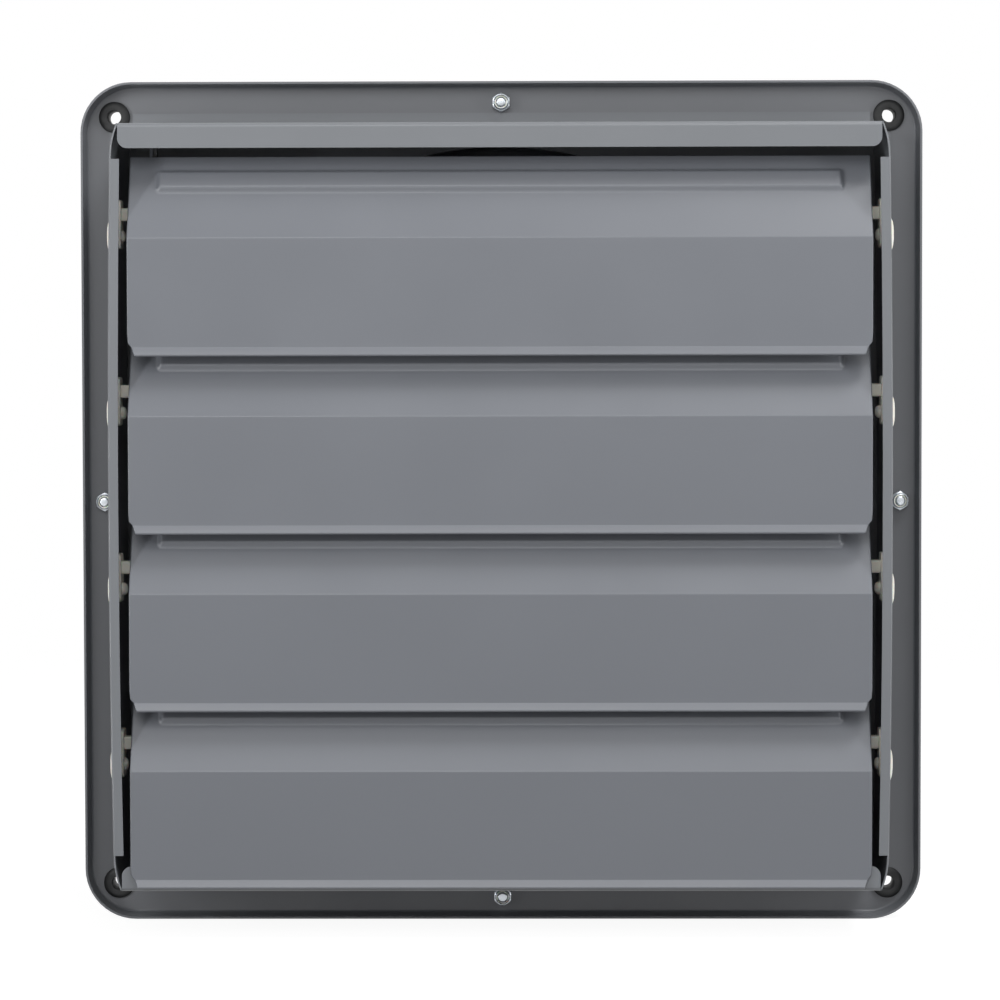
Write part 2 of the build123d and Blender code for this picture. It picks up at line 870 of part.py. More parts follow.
bearing_bore_radius = 4.0
ball_radius = 1.98
ball_place = 7.5
ball_count = 7
race_gap = 1.3
front_bearing_y = shield_y + shield_wall
rear_bearing_y = motor_end_y - shield_wall - bearing_width


def ball_groove():
    return revolve(Pos(ball_place, bearing_width / 2) * Circle(ball_radius + running_clearance), Axis.Y)


def bearing_outer():
    race = rod_y(bearing_outer_radius, 0, bearing_width)
    race -= rod_y(ball_place + race_gap, -cut_overrun, bearing_width + cut_overrun)
    return race - ball_groove()


def bearing_inner():
    race = rod_y(ball_place - race_gap, 0, bearing_width)
    race -= rod_y(bearing_bore_radius + fit_clearance, -cut_overrun, bearing_width + cut_overrun)
    return race - ball_groove()


def bearing_balls():
    balls = []
    for y in (front_bearing_y, rear_bearing_y):
        ball = Pos(ball_place, y + bearing_width / 2, 0) * Sphere(ball_radius)
        for index in range(ball_count):
            balls.append(turned(ball, index * 360 / ball_count))
    return group(balls)


# Rotor and shaft

air_gap = 0.35
rotor_end_ring = 5.0
shaft_step = 1.0
hub_length = 26.0
hub_front_y = impeller_centre - hub_length / 2
shaft_front_y = hub_front_y - shaft_step
shaft_end_gap = 0.35


def motor_shaft():
    thick_radius = bearing_bore_radius + shaft_step
    shaft = rod_y(shaft_radius, shaft_front_y, motor_end_y - shield_wall - shaft_end_gap)
    step_from = front_bearing_y + bearing_width + seat_gap
    return shaft + rod_y(thick_radius, step_from, rear_bearing_y - seat_gap)


def rotor():
    body = rod_y(stator_bore_radius - air_gap, core_y - rotor_end_ring, rear_shield_y + rotor_end_ring)
    bore = bearing_bore_radius + shaft_step + fit_clearance
    y_end = rear_shield_y + rotor_end_ring + cut_overrun
    return body - rod_y(bore, core_y - rotor_end_ring - cut_overrun, y_end)


# Long bolts that hold the motor together and on its plate

motor_bolt_head_flats = 7.0
motor_bolt_head_height = 2.8
motor_nut_height = 3.2
motor_bolt_stick_out = 2.8


def motor_bolts():
    bolts = []
    y_from = motor_plate_y - motor_nut_height - motor_bolt_stick_out
    head_end = motor_end_y + motor_bolt_head_height
    for x, z in motor_bolt_places():
        bolt = rod_y(motor_bolt_radius, y_from, motor_end_y, x, z)
        bolt += slab(Pos(x, z) * hexagon(motor_bolt_head_flats), motor_end_y, head_end)
        bolts.append(bolt)
    return group(bolts)


def motor_nuts():
    nuts = []
    for x, z in motor_bolt_places():
        outline = Pos(x, z) * (hexagon(motor_bolt_head_flats) - Circle(motor_bolt_radius + fit_clearance))
        nuts.append(slab(outline, motor_plate_y - motor_nut_height, motor_plate_y))
    return group(nuts)


# Terminal box on the motor's side, with its cover, capacitor and cable gland

box_wall = 2.0
box_side_x = 26.0
box_saddle = 16.0
box_floor = 3.0
box_length = 44.0
box_start = 6.0
box_half_height = 30.0
box_screw_radius = 1.5
box_screw_place = 10.0
box_screw_back = 16.0
box_screw_head_radius = 2.8
box_screw_head = 2.0
box_screw_reach = 3.0
cover_sheet = 2.5
cover_pillar_radius = 3.5
cover_pillar_inset = 5.0
cover_screw_radius = 1.5
cover_screw_head_radius = 3.0
cover_screw_head = 1.8
cover_screw_length = 12.0
box_corner_radius = 3.0
gland_radius = 6.0
gland_bore_radius = 3.5
gland_flats = 14.0
gland_nut_height = 3.0
gland_body_height = 5.0
gland_cap_height = 7.0
gland_cap_radius = 6.6
gland_back = 22.0
capacitor_length = 18.0
capacitor_half_width = 18.0
capacitor_margin = 0.2
terminal_x = motor_radius + box_side_x
box_inner_x = motor_radius - box_saddle
terminal_floor_x = motor_radius + box_floor
terminal_y = core_y + box_start
terminal_end_y = terminal_y + box_length
box_screw_y = terminal_end_y - box_screw_back
gland_x = (terminal_floor_x + terminal_x) / 2
gland_y = terminal_end_y - gland_back


def pillar_places():
    low = terminal_y + cover_pillar_inset
    high = terminal_end_y - cover_pillar_inset
    reach = box_half_height - cover_pillar_inset
    return [(y, z) for y in (low, high) for z in (-reach, reach)]


def box_outline(inset):
    middle = Pos((terminal_y + terminal_end_y) / 2, 0)
    length = box_length - 2 * inset
    height = 2 * (box_half_height - inset)
    return middle * RectangleRounded(length, height, box_corner_radius)


def terminal_box():
    box = along_x(box_outline(0), box_inner_x, terminal_x)
    box -= along_x(box_outline(box_wall), terminal_floor_x, terminal_x + cut_overrun)
    box -= rod_y(motor_radius + seat_gap, terminal_y - cut_overrun, terminal_end_y + cut_overrun)
    for y, z in pillar_places():
        box += rod_x(cover_pillar_radius, terminal_floor_x - box_floor / 2, terminal_x, y, z)
    for y, z in pillar_places():
        x_from = terminal_x + cover_sheet - cover_screw_length - running_clearance
        box -= rod_x(cover_screw_radius + fit_clearance, x_from, terminal_x + cut_overrun, y, z)
    for z in (-box_screw_place, box_screw_place):
        hole = box_screw_radius + fit_clearance
        box -= rod_x(hole, box_inner_x, terminal_floor_x + cut_overrun, box_screw_y, z)
    bottom = -box_half_height - cut_overrun
    box -= rod_z(gland_radius + fit_clearance, bottom, 2 * box_wall - box_half_height, gland_x, gland_y)
    return box


def terminal_box_screws():
    screws = []
    head_end = terminal_floor_x + box_screw_head
    for z in (-box_screw_place, box_screw_place):
        seat = math.sqrt(motor_radius ** 2 - box_screw_place ** 2)
        screw = rod_x(box_screw_radius, seat - box_screw_reach, terminal_floor_x, box_screw_y, z)
        screw += rod_x(box_screw_head_radius, terminal_floor_x, head_end, box_screw_y, z)
        screws.append(screw)
    return group(screws)


def terminal_cover():
    cover = along_x(box_outline(0), terminal_x, terminal_x + cover_sheet)
    for y, z in pillar_places():
        hole = cover_screw_radius + fit_clearance
        cover -= rod_x(hole, terminal_x - cut_overrun, terminal_x + cover_sheet + cut_overrun, y, z)
    return cover


def cover_screws():
    face = terminal_x + cover_sheet
    screws = []
    for y, z in pillar_places():
        screw = rod_x(cover_screw_radius, face - cover_screw_length, face, y, z)
        screw += rod_x(cover_screw_head_radius, face, face + cover_screw_head, y, z)
        screws.append(screw)
    return group(screws)


def cable_gland():
    # Threaded stem through the box's bottom wall, a nut inside, a hexagon and a dome outside.
    wall_in = -box_half_height + box_wall
    wall_out = -box_half_height
    place = Pos(gland_x, gland_y, 0)
    gland = rod_z(gland_radius, wall_out, wall_in + gland_nut_height, gland_x, gland_y)
    flats = hexagon(gland_flats)
    gland += place * Pos(0, 0, wall_in) * extrude(flats, gland_nut_height)
    gland += place * Pos(0, 0, wall_out - gland_body_height) * extrude(flats, gland_body_height)
    cap_top = wall_out - gland_body_height
    cap = rod_z(gland_cap_radius, cap_top - gland_cap_height, cap_top, gland_x, gland_y)
    gland += fillet(cap.edges().sort_by(Axis.Z)[0], gland_cap_radius / 4)
    bore_low = cap_top - gland_cap_height - cut_overrun
    bore_high = wall_in + gland_nut_height + cut_overrun
    return gland - rod_z(gland_bore_radius, bore_low, bore_high, gland_x, gland_y)


def capacitor():
    y_from = terminal_y + box_wall + capacitor_margin
    x_from = terminal_floor_x + capacitor_margin
    x_to = terminal_x - capacitor_margin
    half = capacitor_half_width
    return block(x_from, x_to, y_from, y_from + capacitor_length, -half, half)


# Impeller: a hub with curved arms, and sheet blades riveted on them

hub_radius = 13.0
hub_disc_radius = 32.0
hub_disc_sheet = 2.5
arm_sheet = 2.0
arm_half_width = 9.0
arm_end_margin = 6.0
arm_seat_gap = 0.05
blade_root_share = 0.23
blade_root = tip_radius * blade_root_share
rivet_inset = 7.96
rivet_step = 10.0
rivet_count = 3
rivet_places = [blade_root + rivet_inset + rivet_step * index for index in range(rivet_count)]
arm_end = rivet_places[-1] + arm_end_margin
rivet_radius = 2.0
rivet_head_radius = 3.5
rivet_head_height = 1.2
hub_screw_radius = 2.0
hub_screw_inset = 4.0
hub_screw_stick_out = 1.5
hub_screw_socket_radius = 1.0
hub_screw_socket_depth = 2.5
blade_reach = 30.0

# Blade outline as shares of the tip radius: along the radius, then across it.
leading_edge_shares = ((blade_root_share, -0.13), (0.45, -0.27), (0.75, -0.36), (1.04, -0.37))
trailing_edge_shares = ((1.04, 0.22), (0.75, 0.27), (0.45, 0.22), (blade_root_share, 0.12))


def blade_plane():
    # Right is the radius, up is across the blade, and the normal is the blade's suction side.
    pitch = math.radians(blade_pitch)
    return Plane(
        origin=(0, impeller_centre, 0),
        x_dir=(1, 0, 0),
        z_dir=(0, math.cos(pitch), -math.sin(pitch)),
    )


def camber_shell(inner_radius, outer_radius, x_from, x_to):
    ring = Circle(outer_radius) - Circle(inner_radius)
    shell = Pos(x_from, 0, -blade_camber_radius) * extrude(Plane.YZ * ring, x_to - x_from)
    return shell


def blade_outline():
    leading = [(tip_radius * u, tip_radius * v) for u, v in leading_edge_shares]
    trailing = [(tip_radius * u, tip_radius * v) for u, v in trailing_edge_shares]
    edges = Spline(*leading).edges()
    edges += Line(leading[-1], trailing[0]).edges()
    edges += Spline(*trailing).edges()
    edges += Line(trailing[-1], leading[0]).edges()
    return make_face(edges)


def rivet_hole(place):
    return Pos(place, 0, -blade_reach) * extrude(Circle(rivet_radius + fit_clearance), 2 * blade_reach)


def blade(index):
    inner = blade_camber_radius - blade_sheet / 2
    outer = blade_camber_radius + blade_sheet / 2
    prism = Pos(0, 0, -blade_reach) * extrude(blade_outline(), 2 * blade_reach)
    sheet = prism & camber_shell(inner, outer, 0, 2 * tip_radius)
    for place in rivet_places:
        sheet -= rivet_hole(place)
    sheet = blade_plane() * sheet
    sheet = sheet & rod_y(tip_radius, impeller_centre - tip_radius, impeller_centre + tip_radius)
    return turned(sheet, index * 360 / blade_count)


def impeller_hub():
    hub_end = hub_front_y + hub_length
    hub = rod_y(hub_radius, hub_front_y, hub_end)
    half_disc = hub_disc_sheet / 2
    hub += rod_y(hub_disc_radius, impeller_centre - half_disc, impeller_centre + half_disc)
    arm_outer = blade_camber_radius - blade_sheet / 2 - arm_seat_gap
    shell = camber_shell(arm_outer - arm_sheet, arm_outer, 0, arm_end)
    outline = span(hub_radius / 2, arm_end, -arm_half_width, arm_half_width)
    arm = shell & (Pos(0, 0, -blade_reach) * extrude(outline, 2 * blade_reach))
    for place in rivet_places:
        arm -= rivet_hole(place)
    arm = blade_plane() * arm
    for index in range(blade_count):
        hub += turned(arm, index * 360 / blade_count)
    hub -= rod_y(shaft_radius + fit_clearance, hub_front_y - cut_overrun, hub_end + cut_overrun)
    screw_y = hub_end - hub_screw_inset
    hub -= rod_z(hub_screw_radius + fit_clearance, -hub_radius - cut_overrun, 0, 0, screw_y)
    return hub


def blade_rivets():
    sagitta = rivet_head_radius ** 2 / (2 * (blade_camber_radius - blade_sheet - arm_sheet))
    top = blade_sheet / 2 + fit_clearance
    bottom = -blade_sheet / 2 - arm_seat_gap - arm_sheet - sagitta - fit_clearance
    head = extrude(Circle(rivet_head_radius), rivet_head_height)
    rivets = []
    for index in range(blade_count):
        for place in rivet_places:
            rivet = Pos(place, 0, bottom) * extrude(Circle(rivet_radius), top - bottom)
            rivet += Pos(place, 0, top) * head
            rivet += Pos(place, 0, bottom - rivet_head_height) * head
            rivets.append(turned(blade_plane() * rivet, index * 360 / blade_count))
    return group(rivets)


def hub_screw():
    screw_y = hub_front_y + hub_length - hub_screw_inset
    low = -hub_radius - hub_screw_stick_out
    screw = rod_z(hub_screw_radius, low, -shaft_radius - running_clearance, 0, screw_y)
    socket_end = low + hub_screw_socket_depth
    return screw - rod_z(hub_screw_socket_radius, low - cut_overrun, socket_end, 0, screw_y)


# Every piece, by its name

nodes = {
    "mounting_panel": mounting_panel(),
    "corner_grommets": corner_grommets(),
    "shutter_top_wall": shutter_top_wall(),
    "shutter_bottom_wall": shutter_bottom_wall(),
    "shutter_left_wall": shutter_left_wall(),
    "shutter_right_wall": shutter_right_wall(),
    "tie_bar": tie_bar(),
    "link_pins": link_pins(),
    "guard_spokes": guard_spokes(),
    "guard_rings": guard_rings(),
    "guard_feet": guard_feet(),
    "guard_bolts": guard_bolts(),
    "lock_nuts": lock_nuts(),
    "lock_nut_inserts": lock_nut_inserts(),
    "motor_plate": motor_plate(),
    "motor_front_shield": motor_front_shield(),
    "motor_rear_shield": motor_rear_shield(),
    "motor_bolts": motor_bolts(),
    "motor_nuts": motor_nuts(),
    "stator_core": stator_core(),
    "stator_winding": stator_winding(),
    "front_bearing_outer": Pos(0, front_bearing_y, 0) * bearing_outer(),
    "front_bearing_inner": Pos(0, front_bearing_y, 0) * bearing_inner(),
    "rear_bearing_outer": Pos(0, rear_bearing_y, 0) * bearing_outer(),
    "rear_bearing_inner": Pos(0, rear_bearing_y, 0) * bearing_inner(),
    "bearing_balls": bearing_balls(),
    "motor_shaft": motor_shaft(),
    "rotor": rotor(),
    "terminal_box": terminal_box(),
    "terminal_box_screws": terminal_box_screws(),
    "terminal_cover": terminal_cover(),
    "cover_screws": cover_screws(),
    "cable_gland": cable_gland(),
    "capacitor": capacitor(),
    "impeller_hub": impeller_hub(),
    "blade_rivets": blade_rivets(),
    "hub_screw": hub_screw(),
}
for number in range(louver_count):
    nodes[f"louver_{number + 1}"] = louver(number)
    nodes[f"louver_pins_{number + 1}"] = louver_pins(number)
    nodes[f"pivot_bearing_left_{number + 1}"] = pivot_bearing_left(number)
    nodes[f"pivot_bearing_right_{number + 1}"] = pivot_bearing_right(number)
for number in range(blade_count):
    nodes[f"blade_{number + 1}"] = blade(number)

for name, part in nodes.items():
    export_step(part, f"parts/{name}.step")
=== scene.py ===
import json
import math

import bpy
import numpy as np
from mathutils import Matrix, Vector


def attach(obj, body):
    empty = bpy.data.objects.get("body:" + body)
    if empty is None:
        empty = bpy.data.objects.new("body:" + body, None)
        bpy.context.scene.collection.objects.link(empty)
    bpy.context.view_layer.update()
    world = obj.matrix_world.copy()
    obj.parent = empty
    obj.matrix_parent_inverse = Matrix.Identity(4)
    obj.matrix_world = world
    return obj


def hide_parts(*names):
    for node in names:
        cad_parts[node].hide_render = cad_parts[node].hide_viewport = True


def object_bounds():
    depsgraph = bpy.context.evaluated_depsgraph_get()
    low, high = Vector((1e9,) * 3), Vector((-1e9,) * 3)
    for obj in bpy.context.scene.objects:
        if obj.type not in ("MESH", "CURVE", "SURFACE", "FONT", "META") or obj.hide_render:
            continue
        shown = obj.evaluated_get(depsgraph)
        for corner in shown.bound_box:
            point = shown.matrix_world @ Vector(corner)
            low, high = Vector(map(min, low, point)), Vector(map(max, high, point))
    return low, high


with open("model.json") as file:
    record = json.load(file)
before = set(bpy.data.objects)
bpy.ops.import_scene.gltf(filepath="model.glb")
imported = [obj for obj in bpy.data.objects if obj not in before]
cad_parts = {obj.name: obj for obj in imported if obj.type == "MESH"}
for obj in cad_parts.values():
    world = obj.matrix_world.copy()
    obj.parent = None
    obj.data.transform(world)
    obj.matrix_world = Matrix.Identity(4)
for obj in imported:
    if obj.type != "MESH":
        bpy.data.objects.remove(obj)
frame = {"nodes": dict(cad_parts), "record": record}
nodes = frame["nodes"]
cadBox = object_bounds()
print("frame loaded:", len(nodes), "nodes")


# Small tools

def linearColour(hexColour):
    # sRGB hex to linear light, with full opacity
    parts = [int(hexColour[i:i + 2], 16) / 255 for i in (1, 3, 5)]
    return [c / 12.92 if c <= 0.04045 else ((c + 0.055) / 1.055) ** 2.4 for c in parts] + [1.0]


def addNode(tree, kind, settings, links=None):
    # Settings are the node's properties or the values of its inputs; links lead to its inputs
    node = tree.nodes.new(kind)
    for key, value in settings.items():
        if isinstance(key, str) and hasattr(node, key):
            setattr(node, key, value)
        else:
            node.inputs[key].default_value = value
    for key, source in (links or {}).items():
        tree.links.new(source, node.inputs[key])
    return node


def newMaterial(name, **shaderValues):
    material = bpy.data.materials.new(name)
    material.use_nodes = True
    tree = material.node_tree
    shader = tree.nodes["Principled BSDF"]
    for key, value in shaderValues.items():
        shader.inputs[key].default_value = value
    place = addNode(tree, "ShaderNodeTexCoord", {})
    return material, tree, shader, place.outputs["Object"]


def seenDirectly(tree):
    # 1 for rays from the camera, from a mirror or through glass, and 0 for light that falls on something
    rays = addNode(tree, "ShaderNodeLightPath", {})
    seen = addNode(tree, "ShaderNodeMath", {"operation": "MAXIMUM"},
                   {0: rays.outputs["Is Camera Ray"], 1: rays.outputs["Is Glossy Ray"]})
    seenToo = addNode(tree, "ShaderNodeMath", {"operation": "MAXIMUM"},
                      {0: seen.outputs[0], 1: rays.outputs["Is Transmission Ray"]})
    return seenToo.outputs[0]


def perMm(size):
    # Texture scale for a feature of this size in millimetres; the object is in metres
    return 1000 / size


# Camera: 1.79 m in front of the panel, a little above and to the right of its middle

cameraPlace = {
    "x": 0.0206,
    "y": -1.7944,
    "z": 0.0790,
    "tiltDegrees": -2.506,
    "panDegrees": 0.687,
    "rollDegrees": -0.123,
    "lens": 136.16,
    "sensor": 36,
    "clipEnd": 50,
}

cameraData = bpy.data.cameras.new("camera")
cameraData.lens = cameraPlace["lens"]
cameraData.sensor_width = cameraPlace["sensor"]
cameraData.clip_end = cameraPlace["clipEnd"]
camera = bpy.data.objects.new("camera", cameraData)
bpy.context.scene.collection.objects.link(camera)
camera.matrix_world = (
    Matrix.Translation((cameraPlace["x"], cameraPlace["y"], cameraPlace["z"]))
    @ Matrix.Rotation(math.radians(cameraPlace["panDegrees"]), 4, "Z")
    @ Matrix.Rotation(math.radians(90 + cameraPlace["tiltDegrees"]), 4, "X")
    @ Matrix.Rotation(math.radians(cameraPlace["rollDegrees"]), 4, "Z")
)
bpy.context.scene.camera = camera
bpy.context.scene.view_settings.view_transform = "Standard"


# Lights: a soft box high in front, one overhead on the right, a tall strip on each side,
# a low strip in front and a pale room

softBoxes = {
    "frontBox": {"place": (-0.4, -2.7, 1.35), "width": 2.4, "height": 1.3, "watts": 31},
    "highBox": {"place": (0.9, -0.8, 2.0), "width": 1.1, "height": 0.55, "watts": 34},
    "leftStrip": {"place": (-1.7, -1.3, -0.05), "width": 0.16, "height": 1.7, "watts": 24},
    "rightStrip": {"place": (1.7, -0.9, 0.0), "width": 0.2, "height": 1.7, "watts": 15},
    "lowStrip": {"place": (0.0, -2.3, -0.75), "width": 1.8, "height": 0.25, "watts": 12},
}
roomLight = 0.3

for name, box in softBoxes.items():
    lampData = bpy.data.lights.new(name, "AREA")
    lampData.shape = "RECTANGLE"
    lampData.size = box["width"]
    lampData.size_y = box["height"]
    lampData.energy = box["watts"]
    lamp = bpy.data.objects.new(name, lampData)
    bpy.context.scene.collection.objects.link(lamp)
    lamp.location = box["place"]
    lamp.rotation_euler = (-Vector(box["place"])).to_track_quat("-Z", "Y").to_euler()
    lamp.visible_camera = False

world = bpy.data.worlds.new("paleRoom")
bpy.context.scene.world = world
world.use_nodes = True
roomTree = world.node_tree
backdrop = roomTree.nodes["Background"]
backdrop.inputs["Color"].default_value = (1, 1, 1, 1)
level = addNode(roomTree, "ShaderNodeMapRange", {"To Min": roomLight, "To Max": 1.0},
                {"Value": seenDirectly(roomTree)})
roomTree.links.new(level.outputs["Result"], backdrop.inputs["Strength"])


# Floor: pale, under the panel's lower edge; it fades into the white room and keeps a soft shadow

floorLook = {"colour": "#787878", "roughness": 0.9, "halfSide": 4.0, "gap": 0.0002, "ownLight": 0.92,
             "fadeFrom": 0.4, "fadeTo": 1.6}

lowest = cadBox[0][2] - floorLook["gap"]
half = floorLook["halfSide"]
floorCorners = [(-half, -half, lowest), (half, -half, lowest), (half, half, lowest), (-half, half, lowest)]
floorMesh = bpy.data.meshes.new("floor")
floorMesh.from_pydata(floorCorners, [], [(0, 1, 2, 3)])
floor = bpy.data.objects.new("floor", floorMesh)
bpy.context.scene.collection.objects.link(floor)
floorPaint, tree, shader, place = newMaterial("paleStudioFloor", Roughness=floorLook["roughness"])
shader.inputs["Base Color"].default_value = linearColour(floorLook["colour"])
shader.inputs["Specular IOR Level"].default_value = 0.0
glow = addNode(tree, "ShaderNodeMath", {"operation": "MULTIPLY", 1: floorLook["ownLight"]},
               {0: seenDirectly(tree)})
ownLight = addNode(tree, "ShaderNodeEmission", {"Color": (1, 1, 1, 1)}, {"Strength": glow.outputs[0]})
both = addNode(tree, "ShaderNodeAddShader", {}, {0: shader.outputs[0], 1: ownLight.outputs[0]})
distance = addNode(tree, "ShaderNodeVectorMath", {"operation": "LENGTH"}, {0: place})
fade = addNode(tree, "ShaderNodeMapRange",
               {"interpolation_type": "SMOOTHSTEP", "From Min": floorLook["fadeFrom"],
                "From Max": floorLook["fadeTo"]}, {"Value": distance.outputs["Value"]})
clear = addNode(tree, "ShaderNodeBsdfTransparent", {})
mixed = addNode(tree, "ShaderNodeMixShader", {},
                {0: fade.outputs[0], 1: both.outputs[0], 2: clear.outputs[0]})
tree.links.new(mixed.outputs[0], tree.nodes["Material Output"].inputs["Surface"])
floorMesh.materials.append(floorPaint)
print("camera, lights and floor are in")


# Materials

def noiseOf(tree, place, sizeMm, detail):
    noise = addNode(tree, "ShaderNodeTexNoise", {"Scale": perMm(sizeMm), "Detail": detail}, {"Vector": place})
    return noise.outputs["Fac"]


def stripeScale(sizeMm):
    # Scale of a wave texture, whose stripes come 2 pi times this size apart
    return perMm(sizeMm) / 20


def colourBetween(tree, shader, share, low, high):
    mix = addNode(tree, "ShaderNodeMix", {"data_type": "RGBA", 6: low, 7: high}, {0: share})
    tree.links.new(mix.outputs[2], shader.inputs["Base Color"])


def mottledColour(tree, shader, place, look):
    # The colour drifts by the spread, lighter and darker, over patches of the given size
    base = linearColour(look["colour"])
    dark = [c * (1 - look["spread"]) for c in base[:3]] + [1.0]
    light = [c * (1 + look["spread"]) for c in base[:3]] + [1.0]
    colourBetween(tree, shader, noiseOf(tree, place, look["mottleMm"], 3.0), dark, light)


def roughnessDrift(tree, shader, place, look):
    # Roughness wanders between two values, as handling and dust leave it.
    # The noise lies mostly between 0.3 and 0.7.
    low, high = look["rough"]
    patches = noiseOf(tree, place, look["patchMm"], 4.0)
    drift = addNode(tree, "ShaderNodeMapRange",
                    {"From Min": 0.3, "From Max": 0.7, "To Min": low, "To Max": high}, {"Value": patches})
    tree.links.new(drift.outputs["Result"], shader.inputs["Roughness"])


def reliefFrom(tree, shader, source, depthMm, under=None):
    # Bump of the given depth; a second relief may lie under it
    links = {"Height": source}
    if under:
        links["Normal"] = under.outputs["Normal"]
    bump = addNode(tree, "ShaderNodeBump", {"Strength": 1.0, "Distance": depthMm / 1000}, links)
    tree.links.new(bump.outputs["Normal"], shader.inputs["Normal"])
    return bump


def powderCoat(name, look):
    # Polyester powder, sprayed and baked on steel: a satin skin whose orange peel softens the highlights
    material, tree, shader, place = newMaterial(name, IOR=1.5, Metallic=0.0)
    mottledColour(tree, shader, place, look)
    roughnessDrift(tree, shader, place, look)
    dent = reliefFrom(tree, shader, noiseOf(tree, place, look["waveMm"], 0.0), look["waveDepthMm"])
    reliefFrom(tree, shader, noiseOf(tree, place, look["peelMm"], 1.0), look["peelDepthMm"], dent)
    return material


panelCoat = {"colour": "#696b6f", "spread": 0.05, "mottleMm": 60, "rough": (0.285, 0.37), "patchMm": 35,
             "peelMm": 1.1, "peelDepthMm": 0.012, "waveMm": 45, "waveDepthMm": 0.12}
shutterCoat = {"colour": "#6e7175", "spread": 0.03, "mottleMm": 80, "rough": (0.285, 0.37), "patchMm": 40,
               "peelMm": 1.0, "peelDepthMm": 0.01, "waveMm": 50, "waveDepthMm": 0.08}
louverCoat = {"colour": "#696c72", "spread": 0.025, "mottleMm": 90, "rough": (0.285, 0.36), "patchMm": 45,
              "peelMm": 0.9, "peelDepthMm": 0.009, "waveMm": 55, "waveDepthMm": 0.15}
wireCoat = {"colour": "#1f2022", "spread": 0.08, "mottleMm": 25, "rough": (0.38, 0.5), "patchMm": 20,
            "peelMm": 0.8, "peelDepthMm": 0.015, "waveMm": 12, "waveDepthMm": 0.02}
bladeCoat = {"colour": "#34363a", "spread": 0.06, "mottleMm": 40, "rough": (0.36, 0.48), "patchMm": 25,
             "peelMm": 0.9, "peelDepthMm": 0.012, "waveMm": 40, "waveDepthMm": 0.08}
hubCoat = {"colour": "#3d3f42", "spread": 0.06, "mottleMm": 20, "rough": (0.38, 0.5), "patchMm": 15,
           "peelMm": 0.8, "peelDepthMm": 0.014, "waveMm": 20, "waveDepthMm": 0.03}


def grainedSkin(name, look, **shaderValues):
    # Drifting colour and roughness under one fine relief of noise
    material, tree, shader, place = newMaterial(name, **shaderValues)
    mottledColour(tree, shader, place, look)
    roughnessDrift(tree, shader, place, look)
    reliefFrom(tree, shader, noiseOf(tree, place, look["grainMm"], look["grainDetail"]), look["grainDepthMm"])
    return material, shader


def zincPlate():
    # Bright zinc plated steel, blue passivated: cool metal with soft cloudy patches and fine pits
    look = {"colour": "#c3c8cd", "spread": 0.1, "mottleMm": 2.2, "rough": (0.22, 0.42), "patchMm": 1.6,
            "grainMm": 0.35, "grainDetail": 3.0, "grainDepthMm": 0.008}
    return grainedSkin("zincPlatedSteel", look, Metallic=1.0)[0]


def mouldedRubber():
    # EPDM rubber from a blasted mould: matt black, greyer where its surface has bloomed
    look = {"colour": "#151617", "spread": 0.25, "mottleMm": 5, "rough": (0.55, 0.75), "patchMm": 4,
            "grainMm": 0.3, "grainDetail": 2.0, "grainDepthMm": 0.02}
    return grainedSkin("mouldedEpdmRubber", look, IOR=1.5)[0]


def mouldedNylon():
    # Natural polyamide, injection moulded: milky white that lets a little light in, with a dull skin
    look = {"colour": "#f0ede2", "spread": 0.03, "mottleMm": 4, "rough": (0.38, 0.55), "patchMm": 3,
            "grainMm": 0.5, "grainDetail": 2.0, "grainDepthMm": 0.01}
    material, shader = grainedSkin("naturalMouldedNylon", look, IOR=1.53)
    shader.inputs["Subsurface Weight"].default_value = 0.15
    shader.inputs["Subsurface Scale"].default_value = 0.0015
    return material


def castAluminium(name, hexColour, grainMm, depthMm):
    # Die cast aluminium, tumbled: dull grey metal with a fine sandy skin
    look = {"colour": hexColour, "spread": 0.08, "mottleMm": 9, "rough": (0.4, 0.58), "patchMm": 7,
            "grainMm": grainMm, "grainDetail": 3.0, "grainDepthMm": depthMm}
    return grainedSkin(name, look, Metallic=0.85)[0]


def smoothPolypropylene():
    # White polypropylene capacitor case: smooth, slightly waxy
    look = {"colour": "#d5d4cf", "spread": 0.03, "mottleMm": 10, "rough": (0.28, 0.4), "patchMm": 8,
            "grainMm": 3, "grainDetail": 1.0, "grainDepthMm": 0.01}
    return grainedSkin("smoothWhitePolypropylene", look, IOR=1.49)[0]


def stackedLaminations():
    # Varnished electrical steel sheets in groups about 3 mm apart round the core, with painted shade: the
    # colour goes dark in the low gaps between the groups
    look = {"dark": "#3c3a38", "light": "#6d6c6b", "rough": (0.35, 0.55), "patchMm": 6,
            "stripeMm": 0.5, "stripeDepthMm": 0.05}
    material, tree, shader, place = newMaterial("varnishedSteelLaminations", Metallic=0.7)
    sheets = addNode(tree, "ShaderNodeTexWave",
                     {"bands_direction": "Y", "Scale": stripeScale(look["stripeMm"]), "Distortion": 0.4,
                      "Detail": 2.0}, {"Vector": place})
    stripes = sheets.outputs["Fac"]
    # Painted shade: the wave that sinks the gaps between groups of sheets also darkens their colour
    colourBetween(tree, shader, stripes, linearColour(look["dark"]), linearColour(look["light"]))
    roughnessDrift(tree, shader, place, look)
    reliefFrom(tree, shader, stripes, look["stripeDepthMm"])
    return material


